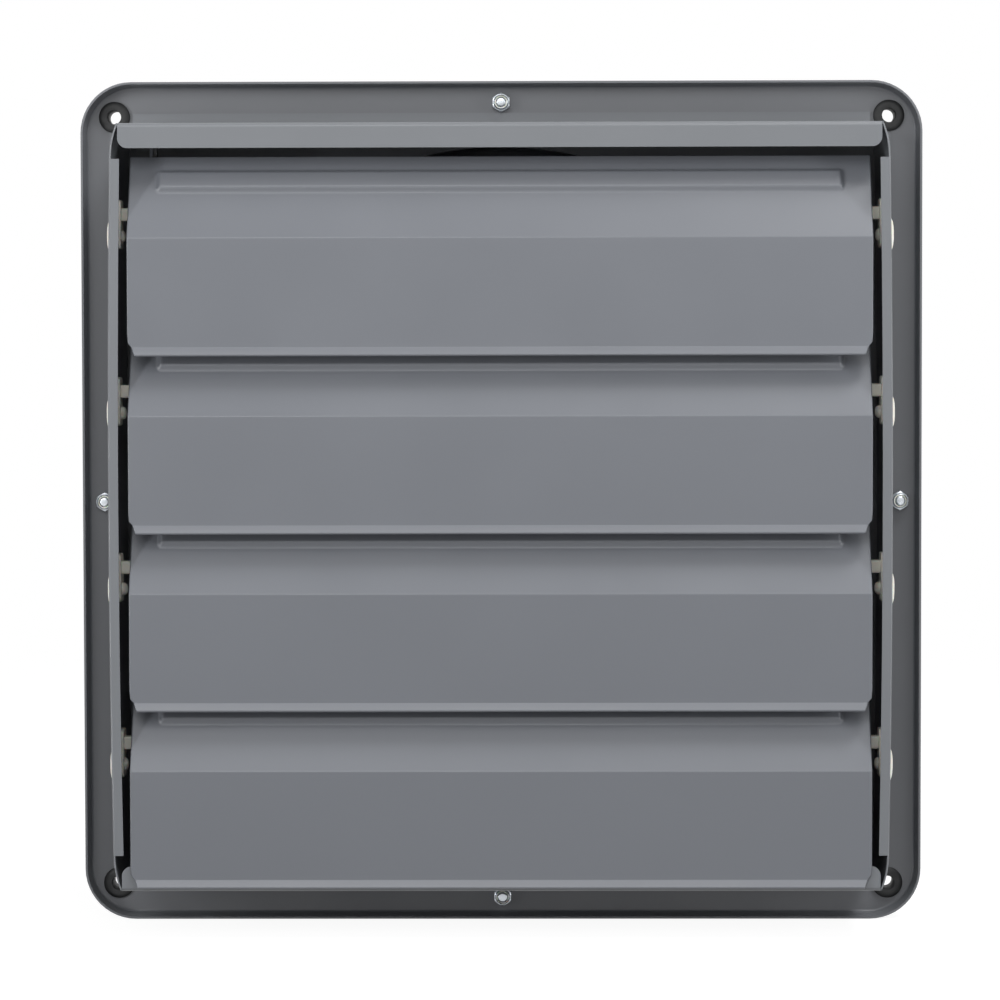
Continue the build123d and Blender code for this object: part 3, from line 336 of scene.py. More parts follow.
def enamelledCopper():
    # Enamelled copper wire: glossy brown bundles of turns side by side, about 3 mm apart, with painted shade:
    # the colour goes dark brown in the low grooves between the turns
    look = {"dark": "#5a2a12", "light": "#b5673a", "rough": (0.2, 0.35), "patchMm": 4,
            "stripeMm": 0.5, "stripeDepthMm": 0.12}
    material, tree, shader, place = newMaterial("enamelledCopperWire", Metallic=0.8)
    turns = addNode(tree, "ShaderNodeTexWave",
                    {"wave_type": "RINGS", "rings_direction": "Y", "Scale": stripeScale(look["stripeMm"]),
                     "Distortion": 1.5, "Detail": 1.0, "Detail Scale": 2.0}, {"Vector": place})
    stripes = turns.outputs["Fac"]
    # Painted shade: the wave that sinks the grooves between turns also darkens their colour
    colourBetween(tree, shader, stripes, linearColour(look["dark"]), linearColour(look["light"]))
    roughnessDrift(tree, shader, place, look)
    reliefFrom(tree, shader, stripes, look["stripeDepthMm"])
    return material


def groundSteel(name, hexColour, stripeMm):
    # Ground and polished steel: mirror bright with soft lines round the axis
    look = {"colour": hexColour, "spread": 0.04, "mottleMm": 3, "rough": (0.14, 0.24), "patchMm": 3,
            "stripeDepthMm": 0.002}
    material, tree, shader, place = newMaterial(name, Metallic=1.0)
    mottledColour(tree, shader, place, look)
    roughnessDrift(tree, shader, place, look)
    lines = addNode(tree, "ShaderNodeTexWave",
                    {"bands_direction": "Y", "Scale": stripeScale(stripeMm), "Distortion": 0.8,
                     "Detail": 2.0}, {"Vector": place})
    reliefFrom(tree, shader, lines.outputs["Fac"], look["stripeDepthMm"])
    return material


def sparkErodedPlastic():
    # Black ABS moulded in a spark eroded tool: even pearly grain, soft sheen
    look = {"colour": "#1b1c1e", "spread": 0.1, "mottleMm": 12, "rough": (0.42, 0.55), "patchMm": 10,
            "grainMm": 0.5, "grainDepthMm": 0.02}
    material, tree, shader, place = newMaterial("grainedBlackAbs", IOR=1.54)
    mottledColour(tree, shader, place, look)
    roughnessDrift(tree, shader, place, look)
    grain = addNode(tree, "ShaderNodeTexVoronoi", {"Scale": perMm(look["grainMm"])}, {"Vector": place})
    reliefFrom(tree, shader, grain.outputs["Distance"], look["grainDepthMm"])
    return material


finishes = {
    "panel_paint": powderCoat("powderCoatedPanelSteel", panelCoat),
    "shutter_paint": powderCoat("powderCoatedShutterSteel", shutterCoat),
    "louver_paint": powderCoat("powderCoatedLouverSteel", louverCoat),
    "rubber_black": mouldedRubber(),
    "nylon_white": mouldedNylon(),
    "zinc_steel": zincPlate(),
    "guard_wire": powderCoat("powderCoatedWire", wireCoat),
    "motor_aluminium": castAluminium("dieCastAluminium", "#8d9093", 0.6, 0.03),
    "core_steel": stackedLaminations(),
    "copper_winding": enamelledCopper(),
    "rotor_aluminium": castAluminium("castRotorAluminium", "#a3a4a6", 0.8, 0.02),
    "bearing_steel": groundSteel("groundBearingSteel", "#d2d3d5", 0.2),
    "shaft_steel": groundSteel("groundShaftSteel", "#b5b6b9", 0.3),
    "box_plastic": sparkErodedPlastic(),
    "capacitor_plastic": smoothPolypropylene(),
    "blade_paint": powderCoat("powderCoatedBladeSteel", bladeCoat),
    "hub_steel": powderCoat("powderCoatedHubSteel", hubCoat),
}
for subpart in frame["record"]["subparts"]:
    piece = nodes[subpart["node"]]
    for slot in piece.material_slots:
        slot.material = finishes[subpart["material_slot"]]
print("materials are on", len(nodes), "nodes")


# Surfaces: each new piece is computed as whole arrays of points in millimetres, at its place in the frame

roundTurns = 96
smallTurns = 48
cornerTurns = 24
poleRadius = 0.02
sharpFromDegrees = 38
chamferSlope = 1.73
roundAngles = np.linspace(0, 2 * np.pi, roundTurns, endpoint=False)


def buildPiece(name, body, shells, finish, replaced=()):
    # Each shell is its points and its quads; the piece joins them and rides on the body
    points = []
    quads = []
    start = 0
    for shellPoints, shellQuads in shells:
        points.append(np.asarray(shellPoints, float).reshape(-1, 3))
        quads.append(np.asarray(shellQuads, int).reshape(-1, 4) + start)
        start += len(points[-1])
    mesh = bpy.data.meshes.new(name)
    mesh.from_pydata((np.concatenate(points) / 1000).tolist(), [], np.concatenate(quads).tolist())
    mesh.validate()
    mesh.shade_smooth()
    mesh.set_sharp_from_angle(angle=math.radians(sharpFromDegrees))
    mesh.materials.append(finishes[finish])
    piece = bpy.data.objects.new(name, mesh)
    bpy.context.scene.collection.objects.link(piece)
    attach(piece, body)
    if replaced:
        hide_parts(*replaced)


def gridQuads(rows, columns, closedRows=False, closedColumns=False):
    # Quads between neighbouring points of a rows by columns grid; a closed side meets itself
    r = np.arange(rows if closedRows else rows - 1)[:, None]
    c = np.arange(columns if closedColumns else columns - 1)[None, :]
    nextR = (r + 1) % rows
    nextC = (c + 1) % columns
    return np.stack([r * columns + c, r * columns + nextC, nextR * columns + nextC, nextR * columns + c], -1)


def spun(rows, turns=roundTurns, closed=False):
    # Points round +Y. A row is its radius, or a radius for each angle, and its height.
    # The ends of an open profile are closed by rows of almost no radius.
    angle = np.linspace(0, 2 * np.pi, turns, endpoint=False)
    r = np.array([np.broadcast_to(radius, turns) for radius, height in rows])
    y = np.array([height for radius, height in rows])[:, None] + 0 * r
    points = np.stack([r * np.cos(angle), y, r * np.sin(angle)], -1)
    return points, gridQuads(len(rows), turns, closed, True)


def moved(shell, offset):
    return shell[0] + np.asarray(offset, float), shell[1]


def mirroredX(shell):
    return shell[0] * np.array([-1.0, 1.0, 1.0]), np.asarray(shell[1]).reshape(-1, 4)[:, ::-1]


def turnedToX(shell):
    # A shape spun round Y, laid along X
    points = np.asarray(shell[0]).reshape(-1, 3)
    swapped = np.stack([points[:, 1], points[:, 0], points[:, 2]], -1)
    return swapped, np.asarray(shell[1]).reshape(-1, 4)[:, ::-1]


def hexRadius(flats):
    # Distance from the middle to a hexagon's side at each angle
    return flats / 2 / np.cos((roundAngles + np.pi / 6) % (np.pi / 3) - np.pi / 6)


def threadRadius(y, crest, depth, pitch):
    # crest - depth (1 - |2 phase - 1|), where the phase is y / pitch - angle / 2 pi less its whole turns
    phase = (y / pitch - roundAngles / (2 * np.pi)) % 1
    return crest - depth * (1 - np.abs(2 * phase - 1))


def softSteps(value, low, high):
    # 3t^2 - 2t^3 between low and high
    t = np.clip((value - low) / (high - low), 0, 1)
    return t * t * (3 - 2 * t)


def circlePoints(radius, y, z, turns=smallTurns):
    angle = np.linspace(0, 2 * np.pi, turns, endpoint=False)
    return np.stack([y + radius * np.cos(angle), z + radius * np.sin(angle)], -1)


def roundedOutline(depth, height, corner, y, z):
    # Points of a rounded rectangle's four corner circles
    points = []
    for sy in (-1, 1):
        for sz in (-1, 1):
            cornerY = y + sy * (depth / 2 - corner)
            cornerZ = z + sz * (height / 2 - corner)
            points += list(circlePoints(corner, cornerY, cornerZ, cornerTurns))
    return points


def hullOf(points):
    # Corners of the outline stretched round these points, anticlockwise
    points = sorted(map(tuple, points))
    chains = []
    for ordered in (points, points[::-1]):
        chain = []
        for p in ordered:
            while len(chain) > 1:
                (ax, ay), (bx, by) = chain[-2:]
                if (bx - ax) * (p[1] - ay) - (by - ay) * (p[0] - ax) > 0:
                    break
                chain.pop()
            chain.append(p)
        chains.append(chain[:-1])
    return np.array(chains[0] + chains[1])


def rimRadii(outline, middle):
    # Rays from the middle, and how far along each one the outline's edge lies
    nearZero = 1e-9
    farAway = 1e9
    corners = hullOf(outline) - np.array(middle)
    ray = np.stack([np.cos(roundAngles), np.sin(roundAngles)], -1)
    side = np.roll(corners, -1, axis=0) - corners
    across = np.stack([side[:, 1], -side[:, 0]], -1)
    level = (across * corners).sum(-1)
    slant = ray @ across.T
    reached = np.where(slant > nearZero, level / np.maximum(slant, nearZero), farAway)
    return ray, np.min(reached, axis=1)


def rowAtX(x, middle, ray, radius):
    # One row of points at this x, this far from the middle along each ray
    y = middle[0] + radius * ray[:, 0]
    z = middle[1] + radius * ray[:, 1]
    return np.stack([np.full(roundTurns, x), y, z], -1)


def plateWithHole(outline, eye, holeRadius, xLow, xHigh, edge=0.15):
    # A flat plate in Y and Z with a round hole and chamfered edges.
    # Its rows run from the hole's rim round the outside and back to the hole.
    ray, rim = rimRadii(outline, eye)
    lines = ((xLow, holeRadius), (xLow, rim - edge), (xLow + edge, rim), (xHigh - edge, rim),
             (xHigh, rim - edge), (xHigh, holeRadius))
    rows = [rowAtX(x, eye, ray, radius) for x, radius in lines]
    return np.concatenate(rows), gridQuads(len(rows), roundTurns, True, True)


def domedPlate(outline, middle, xLow, crown):
    # Rows of the outline, each at its share of the width and its rise, closed in the middle
    ray, rim = rimRadii(outline, middle)
    rows = [rowAtX(xLow + rise, middle, ray, np.maximum(rim * share, poleRadius)) for share, rise in crown]
    return np.concatenate(rows), gridQuads(len(rows), roundTurns, False, True)


def boxFrom(section, xLow, xHigh):
    # A straight bar along X whose section has these corners
    points = np.array([(x, y, z) for x in (xLow, xHigh) for y, z in section])
    return points, [(0, 1, 2, 3), (7, 6, 5, 4), (0, 4, 5, 1), (1, 5, 6, 2), (2, 6, 7, 3), (3, 7, 4, 0)]


# Louvers: one sheet each, with a bend, a kicked lip folded back on itself, and a pressed rib with soft flanks

louverLook = {
    "sheet": 0.8,
    "half": 169.4,
    "corners": [(-3.4, 26.1), (-21.4, -11.2), (-21.4, -60.9), (-23.1, -64.6)],
    "radii": [1.6, 0.8],
    "bendSteps": 7,
    "ribCentre": 12.55,
    "ribHalfHeight": 6.05,
    "ribHalfLength": 157.4,
    "ribCorner": 2.6,
    "ribRaise": 2.0,
    "ribFlank": 2.7,
    "ribZone": 22,
    "foldSteps": 9,
    "foldBack": 2.2,
    "sag": 0.06,
    "sagLength": 47,
    "sagTurn": 7,
    "leanStep": 1.7,
    "endCut": [(-64.6, 3.3), (-61.4, 2.3), (-58.6, 0.0)],
    "endCutFrom": 160,
    "endRound": 0.7,
}
earLook = {"radius": 5.0, "top": 13.0, "bottom": -7.2, "depth": 0.6, "bore": 1.52, "thick": 0.8}
armLook = {"eye": (6.0, 33.0), "radius": 4.0, "bore": 1.55, "openBore": 1.8, "top": 24.0, "bottom": 9.0,
           "x": (-160.6, -159.4), "footX": (-167.6, -159.6), "footDepths": (0.8, 2.13)}
louverPitch = 81.1
pivotY = -55.0
pivotHeights = [134.3 - louverPitch * i for i in range(4)]


def louverLine():
    # Points of the sheet's front face in Y and Z with the normals that point to its back face.
    # The rows lie close together over the rib, in the bends and round the fold.
    look = louverLook
    corners = np.array(look["corners"], float)
    runs = np.diff(corners, axis=0)
    lengths = np.linalg.norm(runs, axis=1)
    along = runs / lengths[:, None]
    backs = np.stack([-along[:, 1], along[:, 0]], -1)
    upper = np.concatenate([[0, 2.5], np.arange(4.6, 21.2, 0.55), np.linspace(24, lengths[0] - 1.2, 6)])
    points = list(corners[0] + upper[:, None] * along[0])
    normals = [backs[0]] * len(upper)
    for i, radius in enumerate(look["radii"], 1):
        cross = along[i - 1][0] * along[i][1] - along[i - 1][1] * along[i][0]
        turn = math.asin(cross)
        reach = radius * math.tan(abs(turn) / 2)
        side = 1 if turn > 0 else -1
        centre = corners[i] - along[i - 1] * reach + backs[i - 1] * radius * side
        for share in np.linspace(0, 1, look["bendSteps"]):
            mixed = backs[i - 1] * (1 - share) + backs[i] * share
            mixed = mixed / np.linalg.norm(mixed)
            points.append(centre - mixed * radius * side)
            normals.append(mixed)
        if i == 1:
            for share in np.linspace(0.04, 0.96, 12):
                points.append(corners[1] + runs[1] * share)
                normals.append(backs[1])
    up = -along[2]
    fold = corners[3] + up * look["sheet"] + backs[2] * look["sheet"]
    for turn in np.linspace(0, np.pi, look["foldSteps"]):
        outward = -backs[2] * math.cos(turn) - up * math.sin(turn)
        points.append(fold + outward * look["sheet"])
        normals.append(-outward)
    for rise in (0.7, 1.5, look["foldBack"]):
        points.append(fold + backs[2] * look["sheet"] + up * rise)
        normals.append(-backs[2])
    return np.array(points), np.array(normals)


def louverSheet(lean):
    # The rib is raised by softSteps of its rounded outline's distance; the sheet sags back a little between
    # its ends, by sag (1 + sin(x / sagLength + lean) sin(sagTurn share + lean)) (1 - (x / half)^2)
    look = louverLook
    line, normal = louverLine()
    half = look["half"]
    nearRibEnd = np.arange(147, 160.5, 0.6)
    nearSheetEnd = half - np.linspace(look["endRound"], 0, 6)
    ends = np.concatenate([nearRibEnd, np.linspace(161.5, half - 0.8, 5), nearSheetEnd])
    x = np.concatenate([-ends[::-1], np.linspace(-144, 144, 25), ends])
    top = np.array(look["corners"][0])
    straight = np.array(look["corners"][1]) - top
    reach = (line - top) @ (straight / np.linalg.norm(straight))
    isUpper = (reach < look["ribZone"]) & (line[:, 1] > 0)
    qx = np.abs(x)[None, :] - look["ribHalfLength"] + look["ribCorner"]
    qs = np.abs(reach - look["ribCentre"])[:, None] - look["ribHalfHeight"] + look["ribCorner"]
    beyond = np.hypot(np.maximum(qx, 0), np.maximum(qs, 0))
    outside = beyond + np.minimum(np.maximum(qx, qs), 0) - look["ribCorner"]
    rise = look["ribRaise"] * softSteps(-outside, 0, look["ribFlank"]) * isUpper[:, None]
    share = np.clip((top[1] - line[:, 1]) / (top[1] - look["corners"][3][1]), 0, 1)[:, None]
    waves = 1 + np.sin(x[None, :] / look["sagLength"] + lean) * np.sin(share * look["sagTurn"] + lean)
    sag = look["sag"] * waves * (1 - (x[None, :] / half) ** 2)
    inEnd = np.maximum(look["endRound"] - (half - np.abs(x)), 0)
    roll = look["endRound"] - np.sqrt(np.maximum(look["endRound"] ** 2 - inEnd ** 2, 0))
    cutZ = np.array([c[0] for c in look["endCut"]])
    cutX = np.array([c[1] for c in look["endCut"]])
    cut = np.interp(line[:, 1], cutZ, cutX, right=0.0)[:, None]
    squeeze = np.clip((np.abs(x)[None, :] - look["endCutFrom"]) / (half - look["endCutFrom"]), 0, 1)
    realX = x[None, :] - np.sign(x)[None, :] * cut * squeeze
    faces = []
    for depth, rolled in ((0.0, roll), (look["sheet"], 0 * roll)):
        back = depth - rise + sag + rolled[None, :]
        y = line[:, :1] + normal[:, :1] * back
        z = line[:, 1:] + normal[:, 1:] * back
        faces.append(np.stack([realX, y, z], -1))
    loop = np.concatenate([faces[0], faces[1][::-1]])
    rows, columns = loop.shape[:2]
    skin = gridQuads(rows, columns, True, False)[..., ::-1]
    caps = []
    i = np.arange(rows // 2 - 1)
    for column in (0, columns - 1):
        front = i * columns + column
        frontNext = (i + 1) * columns + column
        behind = (rows - 1 - i) * columns + column
        behindNext = (rows - 2 - i) * columns + column
        order = [front, frontNext, behindNext, behind]
        if column == 0:
            order = [front, behind, behindNext, frontNext]
        caps.append(np.stack(order, -1))
    return loop.reshape(-1, 3), np.concatenate([skin.reshape(-1, 4)] + caps)


def onUpper(z, depth):
    # Point of the louver's upper part at this height, this far behind its front face
    (topY, topZ), (bendY, bendZ) = louverLook["corners"][:2]
    return topY - (topZ - z) / (topZ - bendZ) * (topY - bendY) + depth, z


def louverEar():
    look = earLook
    edge = [onUpper(look["top"], look["depth"]), onUpper(look["bottom"], look["depth"])]
    outline = list(circlePoints(look["radius"], 0, 0)) + edge
    outer = louverLook["half"]
    return plateWithHole(outline, (0, 0), look["bore"], outer - look["thick"], outer)


def louverArm(bore):
    look = armLook
    front, back = look["footDepths"]
    edge = [onUpper(look["top"], front), onUpper(look["bottom"], front)]
    outline = list(circlePoints(look["radius"], *look["eye"])) + edge
    arm = plateWithHole(outline, look["eye"], bore, *look["x"])
    section = [onUpper(look["bottom"], front), onUpper(look["bottom"], back), onUpper(look["top"], back),
               onUpper(look["top"], front)]
    return [arm, boxFrom(section, *look["footX"])]


ear = louverEar()
for index, height in enumerate(pivotHeights):
    arm = louverArm(armLook["bore"] if index == 0 else armLook["openBore"])
    shells = [louverSheet(louverLook["leanStep"] * index), ear, mirroredX(ear)] + arm
    buildPiece(f"pressedLouver{index + 1}", f"louver_{index + 1}",
               [moved(part, (0, pivotY, height)) for part in shells], "louver_paint", [f"louver_{index + 1}"])
print("louvers are in")


# Fastenings of the guard: chamfered lock nuts with a crimped collar, and bolts with a rolled M5 thread

boltPlaces = [(188.5, 0), (0, 188.5), (-188.5, 0), (0, -188.5)]
nutLook = {
    "flats": 8.0,
    "seat": [(2.55, 0.0), (3.85, 0.0)],
    "hexHeights": (-0.25, -0.45, -0.8, -2.7, -3.0, -3.2),
    "hexTop": 3.4,
    "coneRadius": 3.9,
    "collar": [(3.9, -3.4), (3.66, -3.42), (3.6, -3.7), (3.42, -4.5), (3.15, -4.92), (2.98, -5.0),
               (2.96, -4.8), (2.55, -3.7)],
}
boltLook = {
    "end": [(poleRadius, -5.5), (1.5, -5.5), (1.85, -5.42)],
    "threadHeights": (-5.3, 2.41, 0.1),
    "crest": 2.49,
    "threadDepth": 0.3,
    "pitch": 0.8,
    "tipRadius": 1.9,
    "tipHeight": -5.4,
    "tipSlope": 1.1,
    "shoulder": [(2.45, 2.5), (3.75, 2.5)],
    "flats": 8.0,
    "hexHeights": (2.6, 5.2, 5.5, 5.8, 5.98),
    "hexTop": 6.0,
    "coneRadius": 3.75,
    "crown": [(3.6, 6.0), (3.0, 6.0), (2.6, 5.75), (poleRadius, 5.7)],
}


def lockNut():
    # Hexagon cut by two cones, then the crimped collar; the bore closes the loop
    look = nutLook
    rows = list(look["seat"])
    for y in look["hexHeights"]:
        cone = look["coneRadius"] + chamferSlope * min(-y, look["hexTop"] + y)
        rows.append((np.minimum(hexRadius(look["flats"]), cone), y))
    return spun(rows + look["collar"], closed=True)


def threadRows(look):
    # The thread, cut by a cone at its tip
    rows = []
    for y in np.arange(*look["threadHeights"]):
        tip = look["tipRadius"] + (y - look["tipHeight"]) * look["tipSlope"]
        rows.append((np.minimum(threadRadius(y, look["crest"], look["threadDepth"], look["pitch"]), tip), y))
    return rows


def threadedBolt():
    look = boltLook
    head = []
    for y in look["hexHeights"]:
        cone = look["coneRadius"] + chamferSlope * (look["hexTop"] - y)
        head.append((np.minimum(hexRadius(look["flats"]), cone), y))
    return spun(look["end"] + threadRows(look) + look["shoulder"] + head + look["crown"])


nut = lockNut()
bolt = threadedBolt()
buildPiece("chamferedLockNuts", "frame", [moved(nut, (x, 0, z)) for x, z in boltPlaces], "zinc_steel",
           ["lock_nuts"])
buildPiece("threadedBolts", "frame", [moved(bolt, (x, 0, z)) for x, z in boltPlaces], "zinc_steel",
           ["guard_bolts"])


# Bushes: soft moulded edges, a rounded lip on the panel and a deep sleeve behind it

bushPlaces = [(x, z) for x in (-183.0, 183.0) for z in (-182.0, 182.0)]
bushProfile = [(3.25, -1.7), (3.4, -1.92), (3.7, -2.0), (5.3, -2.0), (5.9, -1.93), (6.3, -1.75), (6.9, -1.4),
               (7.2, -1.1), (7.33, -0.8), (7.35, -0.3), (7.25, -0.05), (7.0, 0.0), (4.98, 0.0), (4.98, 1.0),
               (6.8, 1.0), (7.0, 1.2), (6.9, 6.0), (6.75, 12.6), (6.5, 12.95), (6.2, 13.0), (3.7, 13.0),
               (3.4, 12.9), (3.25, 12.6)]
bush = spun(bushProfile, closed=True)
buildPiece("mouldedBushes", "frame", [moved(bush, (x, 0, z)) for x, z in bushPlaces], "rubber_black",
           ["corner_grommets"])
print("bolts, nuts and bushes are in")


# Pivot bearings: a plate with a square boss round the pin, a domed peg and a domed clip outside the wall

bearingLook = {
    "wallFace": 178.65,
    "wallBowRadius": 9029.6,
    "above": 6.5,
    "below": 15.7,
    "wallAndGap": 0.85,
    "plateThick": 3.1,
    "plateSize": (12.0, 22.2, 2.0),
    "plateDrop": 4.6,
    "plateCrown": [(0, 0), (0.97, 0), (1.0, 0.3), (1.0, 2.8), (0.97, 3.1), (0, 3.1)],
    "sink": 0.1,
    "bossSize": (5.9, 5.9, 0.7),
    "bossFace": 169.9,
    "bossEdge": 0.25,
    "bore": 1.55,
    "pegDrop": 10.0,
    "pegDome": [(poleRadius, 172.0), (1.1, 172.05), (2.0, 172.35), (2.6, 172.9), (2.9, 173.6), (3.0, 174.4)],
    "pegRadius": 3.0,
    "neckRadius": 2.4,
    "clipSize": (10.0, 17.0, 1.5),
    "clipGap": 0.05,
    "clipCrown": [(0, 0), (1.0, 0), (1.0, 0.35), (0.96, 0.7), (0.86, 1.25), (0.7, 1.8), (0.5, 2.2),
                  (0.25, 2.45), (0, 2.5)],
}


def wallFace(z):
    # Outer face of the bowed side wall
    radius = bearingLook["wallBowRadius"]
    return bearingLook["wallFace"] - radius + math.sqrt(radius ** 2 - z ** 2)


def pivotBearing(z):
    # The plate stays inside the wall at both its ends, and the clip outside it at the wall's widest place
    look = bearingLook
    seat = min(wallFace(z + look["above"]), wallFace(z - look["below"])) - look["wallAndGap"]
    plateFace = seat - look["plateThick"]
    plateZ = z - look["plateDrop"]
    pegZ = z - look["pegDrop"]
    clipReach = look["clipSize"][1] / 2
    clipSeat = wallFace(min(max(0.0, pegZ - clipReach), pegZ + clipReach)) + look["clipGap"]
    sunk = plateFace + look["sink"]
    plate = domedPlate(roundedOutline(*look["plateSize"], pivotY, plateZ), (pivotY, plateZ), plateFace,
                       look["plateCrown"])
    boss = plateWithHole(roundedOutline(*look["bossSize"], pivotY, z), (pivotY, z), look["bore"],
                         look["bossFace"], sunk, look["bossEdge"])
    peg = turnedToX(spun(look["pegDome"] + [(look["pegRadius"], sunk), (poleRadius, sunk)], smallTurns))
    low = seat - look["sink"]
    high = clipSeat + look["sink"]
    neckRows = [(poleRadius, low), (look["neckRadius"], low), (look["neckRadius"], high), (poleRadius, high)]
    neck = turnedToX(spun(neckRows, smallTurns))
    clip = domedPlate(roundedOutline(*look["clipSize"], pivotY, pegZ), (pivotY, pegZ), clipSeat,
                      look["clipCrown"])
    pegPlace = (0, pivotY, pegZ)
    return [plate, boss, moved(peg, pegPlace), moved(neck, pegPlace), clip]


for index, height in enumerate(pivotHeights):
    shells = pivotBearing(height)
    buildPiece(f"pivotBearingRight{index + 1}", "frame", shells, "nylon_white",
               [f"pivot_bearing_right_{index + 1}"])
    buildPiece(f"pivotBearingLeft{index + 1}", "frame", [mirroredX(shell) for shell in shells], "nylon_white",
               [f"pivot_bearing_left_{index + 1}"])
print("bearings are in")


# Guard: a pressed weld nugget at each crossing of a ring and a spoke

guardLook = {"radius": 180.0, "corner": 30.0, "depth": 52.0, "firstRing": 66.0, "lastRingHeight": 8.0,
             "rings": 13, "spokes": 16}
nuggetLook = {"along": 1.7, "across": 1.7, "thick": 0.9, "rows": 7, "turns": 12, "poleAngle": 0.03}


def guardRuns():
    # Lengths of the guard's flat face, outside the first ring, and of its rounded corner
    look = guardLook
    return look["radius"] - look["corner"] - look["firstRing"], look["corner"] * math.pi / 2


def guardPoint(length):
    # Radius and height on the guard's outer face, this far from the first ring along it, and the
    # outward direction there
    look = guardLook
    flat, arc = guardRuns()
    if length <= flat:
        return look["firstRing"] + length, look["depth"], 0.0, 1.0
    cornerRadius = look["radius"] - look["corner"]
    cornerHeight = look["depth"] - look["corner"]
    if length <= flat + arc:
        turn = (length - flat) / look["corner"]
        out = (math.sin(turn), math.cos(turn))
        return cornerRadius + look["corner"] * out[0], cornerHeight + look["corner"] * out[1], out[0], out[1]
    return look["radius"], cornerHeight - (length - flat - arc), 1.0, 0.0


def weldNuggets():
    # Ellipsoids: u along the spoke, v across it and w outwards
    look = nuggetLook
    rings = guardLook["rings"]
    spokes = guardLook["spokes"]
    total = sum(guardRuns()) + guardLook["depth"] - guardLook["corner"] - guardLook["lastRingHeight"]
    tilt = np.linspace(look["poleAngle"], np.pi - look["poleAngle"], look["rows"])[:, None]
    turn = np.linspace(0, 2 * np.pi, look["turns"], endpoint=False)[None, :]
    u = look["along"] * np.sin(tilt) * np.cos(turn)
    v = look["across"] * np.sin(tilt) * np.sin(turn)
    w = look["thick"] * np.cos(tilt) + 0 * turn
    quads = gridQuads(look["rows"], look["turns"], False, True)
    shells = []
    for ring in range(rings):
        r, y, outR, outY = guardPoint(total * ring / (rings - 1))
        radial = r + w * outR + u * outY
        height = y + w * outY - u * outR
        for spoke in range(spokes):
            a = 2 * math.pi * spoke / spokes
            points = np.stack([radial * math.cos(a) - v * math.sin(a), height,
                               radial * math.sin(a) + v * math.cos(a)], -1)
            shells.append((points, quads))
    return shells


buildPiece("guardWelds", "frame", weldNuggets(), "guard_wire")


# Motor bolts and nuts: chamfered 7 mm hexagons, and a rolled M4 thread where the bolt comes out of the nut

motorBoltLook = {
    "reach": 28.99,
    "end": [(poleRadius, 45.85), (1.45, 45.85)],
    "threadHeights": (46.0, 49.0, 0.09),
    "crest": 1.99,
    "threadDepth": 0.25,
    "pitch": 0.7,
    "tipRadius": 1.5,
    "tipHeight": 45.85,
    "tipSlope": 1.2,
    "shank": [(1.98, 49.2), (1.98, 121.9), (poleRadius, 121.9)],
    "flats": 7.0,
    "head": (121.85, 124.65),
    "nut": (48.65, 51.85),
    "nutBore": 2.02,
}
hexLook = {"faceShare": 0.47, "coneShare": 0.48, "rows": (0.04, 0.12, 0.25, 0.75, 0.88, 0.96), "uncut": 9.0}
motorReach = motorBoltLook["reach"]
motorBoltPlaces = [(x, z) for x in (-motorReach, motorReach) for z in (-motorReach, motorReach)]


def hexHead(flats, ends, bore, isNut):
    # Hexagon cut by a cone at its far end, and a nut's at both; a nut's bore closes the loop
    look = hexLook
    low, high = ends
    face = flats * look["faceShare"]
    rows = [(bore, low), (face, low)]
    for share in look["rows"]:
        y = low + share * (high - low)
        lowReach = y - low if isNut else look["uncut"]
        cone = flats * look["coneShare"] + chamferSlope * min(lowReach, high - y)
        rows.append((np.minimum(hexRadius(flats), cone), y))
    return spun(rows + [(face, high), (bore, high)], closed=isNut)


def motorBolt():
    look = motorBoltLook
    return spun(look["end"] + threadRows(look) + look["shank"])


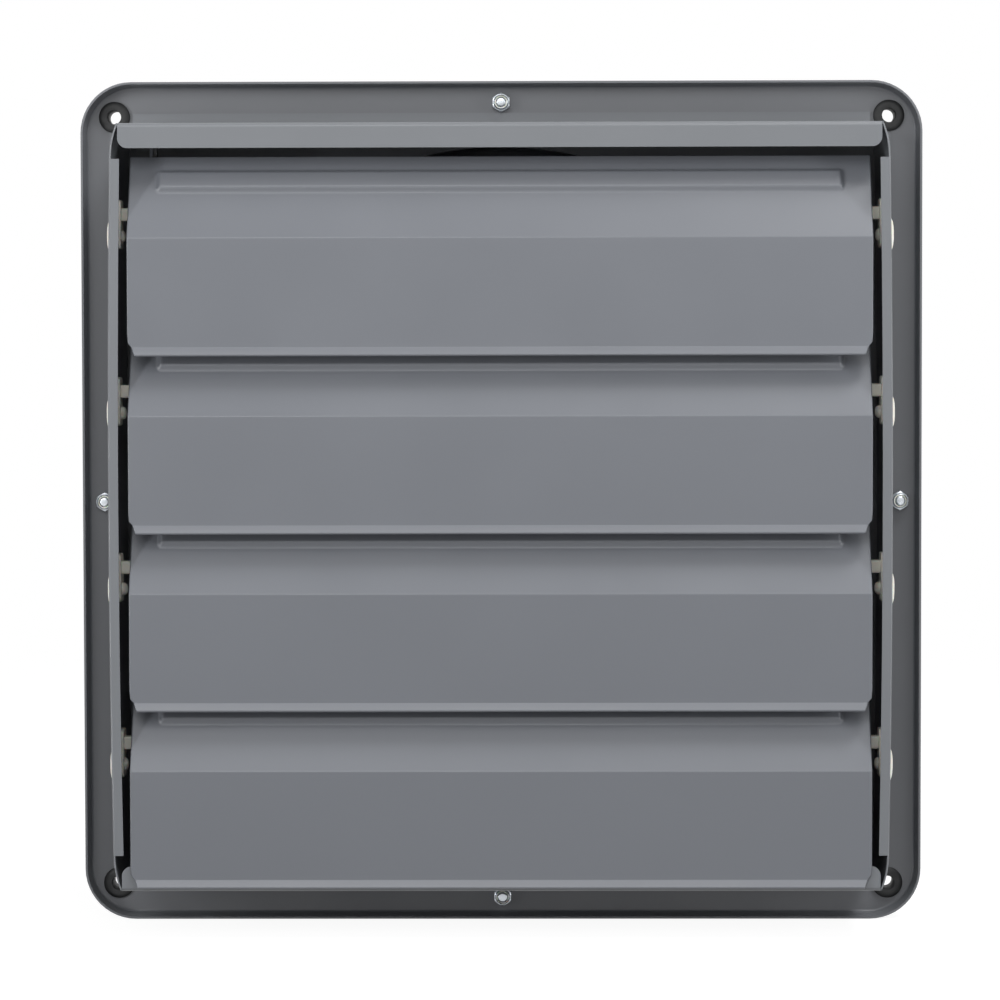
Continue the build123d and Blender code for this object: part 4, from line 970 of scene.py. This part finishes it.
boltShells = (motorBolt(), hexHead(motorBoltLook["flats"], motorBoltLook["head"], poleRadius, False))
plateNut = hexHead(motorBoltLook["flats"], motorBoltLook["nut"], motorBoltLook["nutBore"], True)
buildPiece("motorLongBolts", "frame",
           [moved(shell, (x, 0, z)) for x, z in motorBoltPlaces for shell in boltShells], "zinc_steel",
           ["motor_bolts"])
buildPiece("motorPlateNuts", "frame", [moved(plateNut, (x, 0, z)) for x, z in motorBoltPlaces], "zinc_steel",
           ["motor_nuts"])


# Cover screws: pan heads with a pressed cross recess

screwLook = {
    "coverFace": 74.5,
    "places": [(y, z) for y in (84.85, 118.85) for z in (-25.0, 25.0)],
    "radius": 3.0,
    "height": 1.8,
    "crownDrop": 0.75,
    "edgeRows": (0.8, 0.88, 0.94, 0.98, 1.0, 1.0),
    "innerRows": (0.1, 0.72, 16),
    "crossHalfWidth": 0.42,
    "crossSideSoft": 0.14,
    "crossReach": 0.62,
    "crossEndSoft": 0.5,
    "crossDepth": 0.75,
    "shank": [(poleRadius, -12.0), (1.5, -12.0), (1.5, 0.0), (poleRadius, 0.0)],
}


def panHead():
    # height (1 - crownDrop (r / radius)^4), less the recess where the point lies in one arm of the cross
    look = screwLook
    radius = look["radius"]
    innerFrom, innerTo, innerCount = look["innerRows"]
    inner = np.linspace(innerFrom, radius * innerTo, innerCount)
    r = np.concatenate([[poleRadius], inner, radius * np.array(look["edgeRows"])])[:, None]
    x = r * np.cos(roundAngles)
    z = r * np.sin(roundAngles)
    along = np.maximum(np.abs(x), np.abs(z))
    aside = np.minimum(np.abs(x), np.abs(z))
    recess = (softSteps(look["crossHalfWidth"] - aside, 0, look["crossSideSoft"])
              * softSteps(radius * look["crossReach"] - along, 0, look["crossEndSoft"]))
    rise = look["height"] * (1 - look["crownDrop"] * (r / radius) ** 4) - look["crossDepth"] * recess
    rise[-1] = 0
    return np.stack([rise, x, z], -1), gridQuads(len(r), roundTurns, False, True)


screwShells = (panHead(), turnedToX(spun(screwLook["shank"], smallTurns)))
coverFace = screwLook["coverFace"]
buildPiece("crossHeadScrews", "frame",
           [moved(shell, (coverFace, y, z)) for y, z in screwLook["places"] for shell in screwShells],
           "zinc_steel", ["cover_screws"])
print("guard welds and motor fasteners are in")
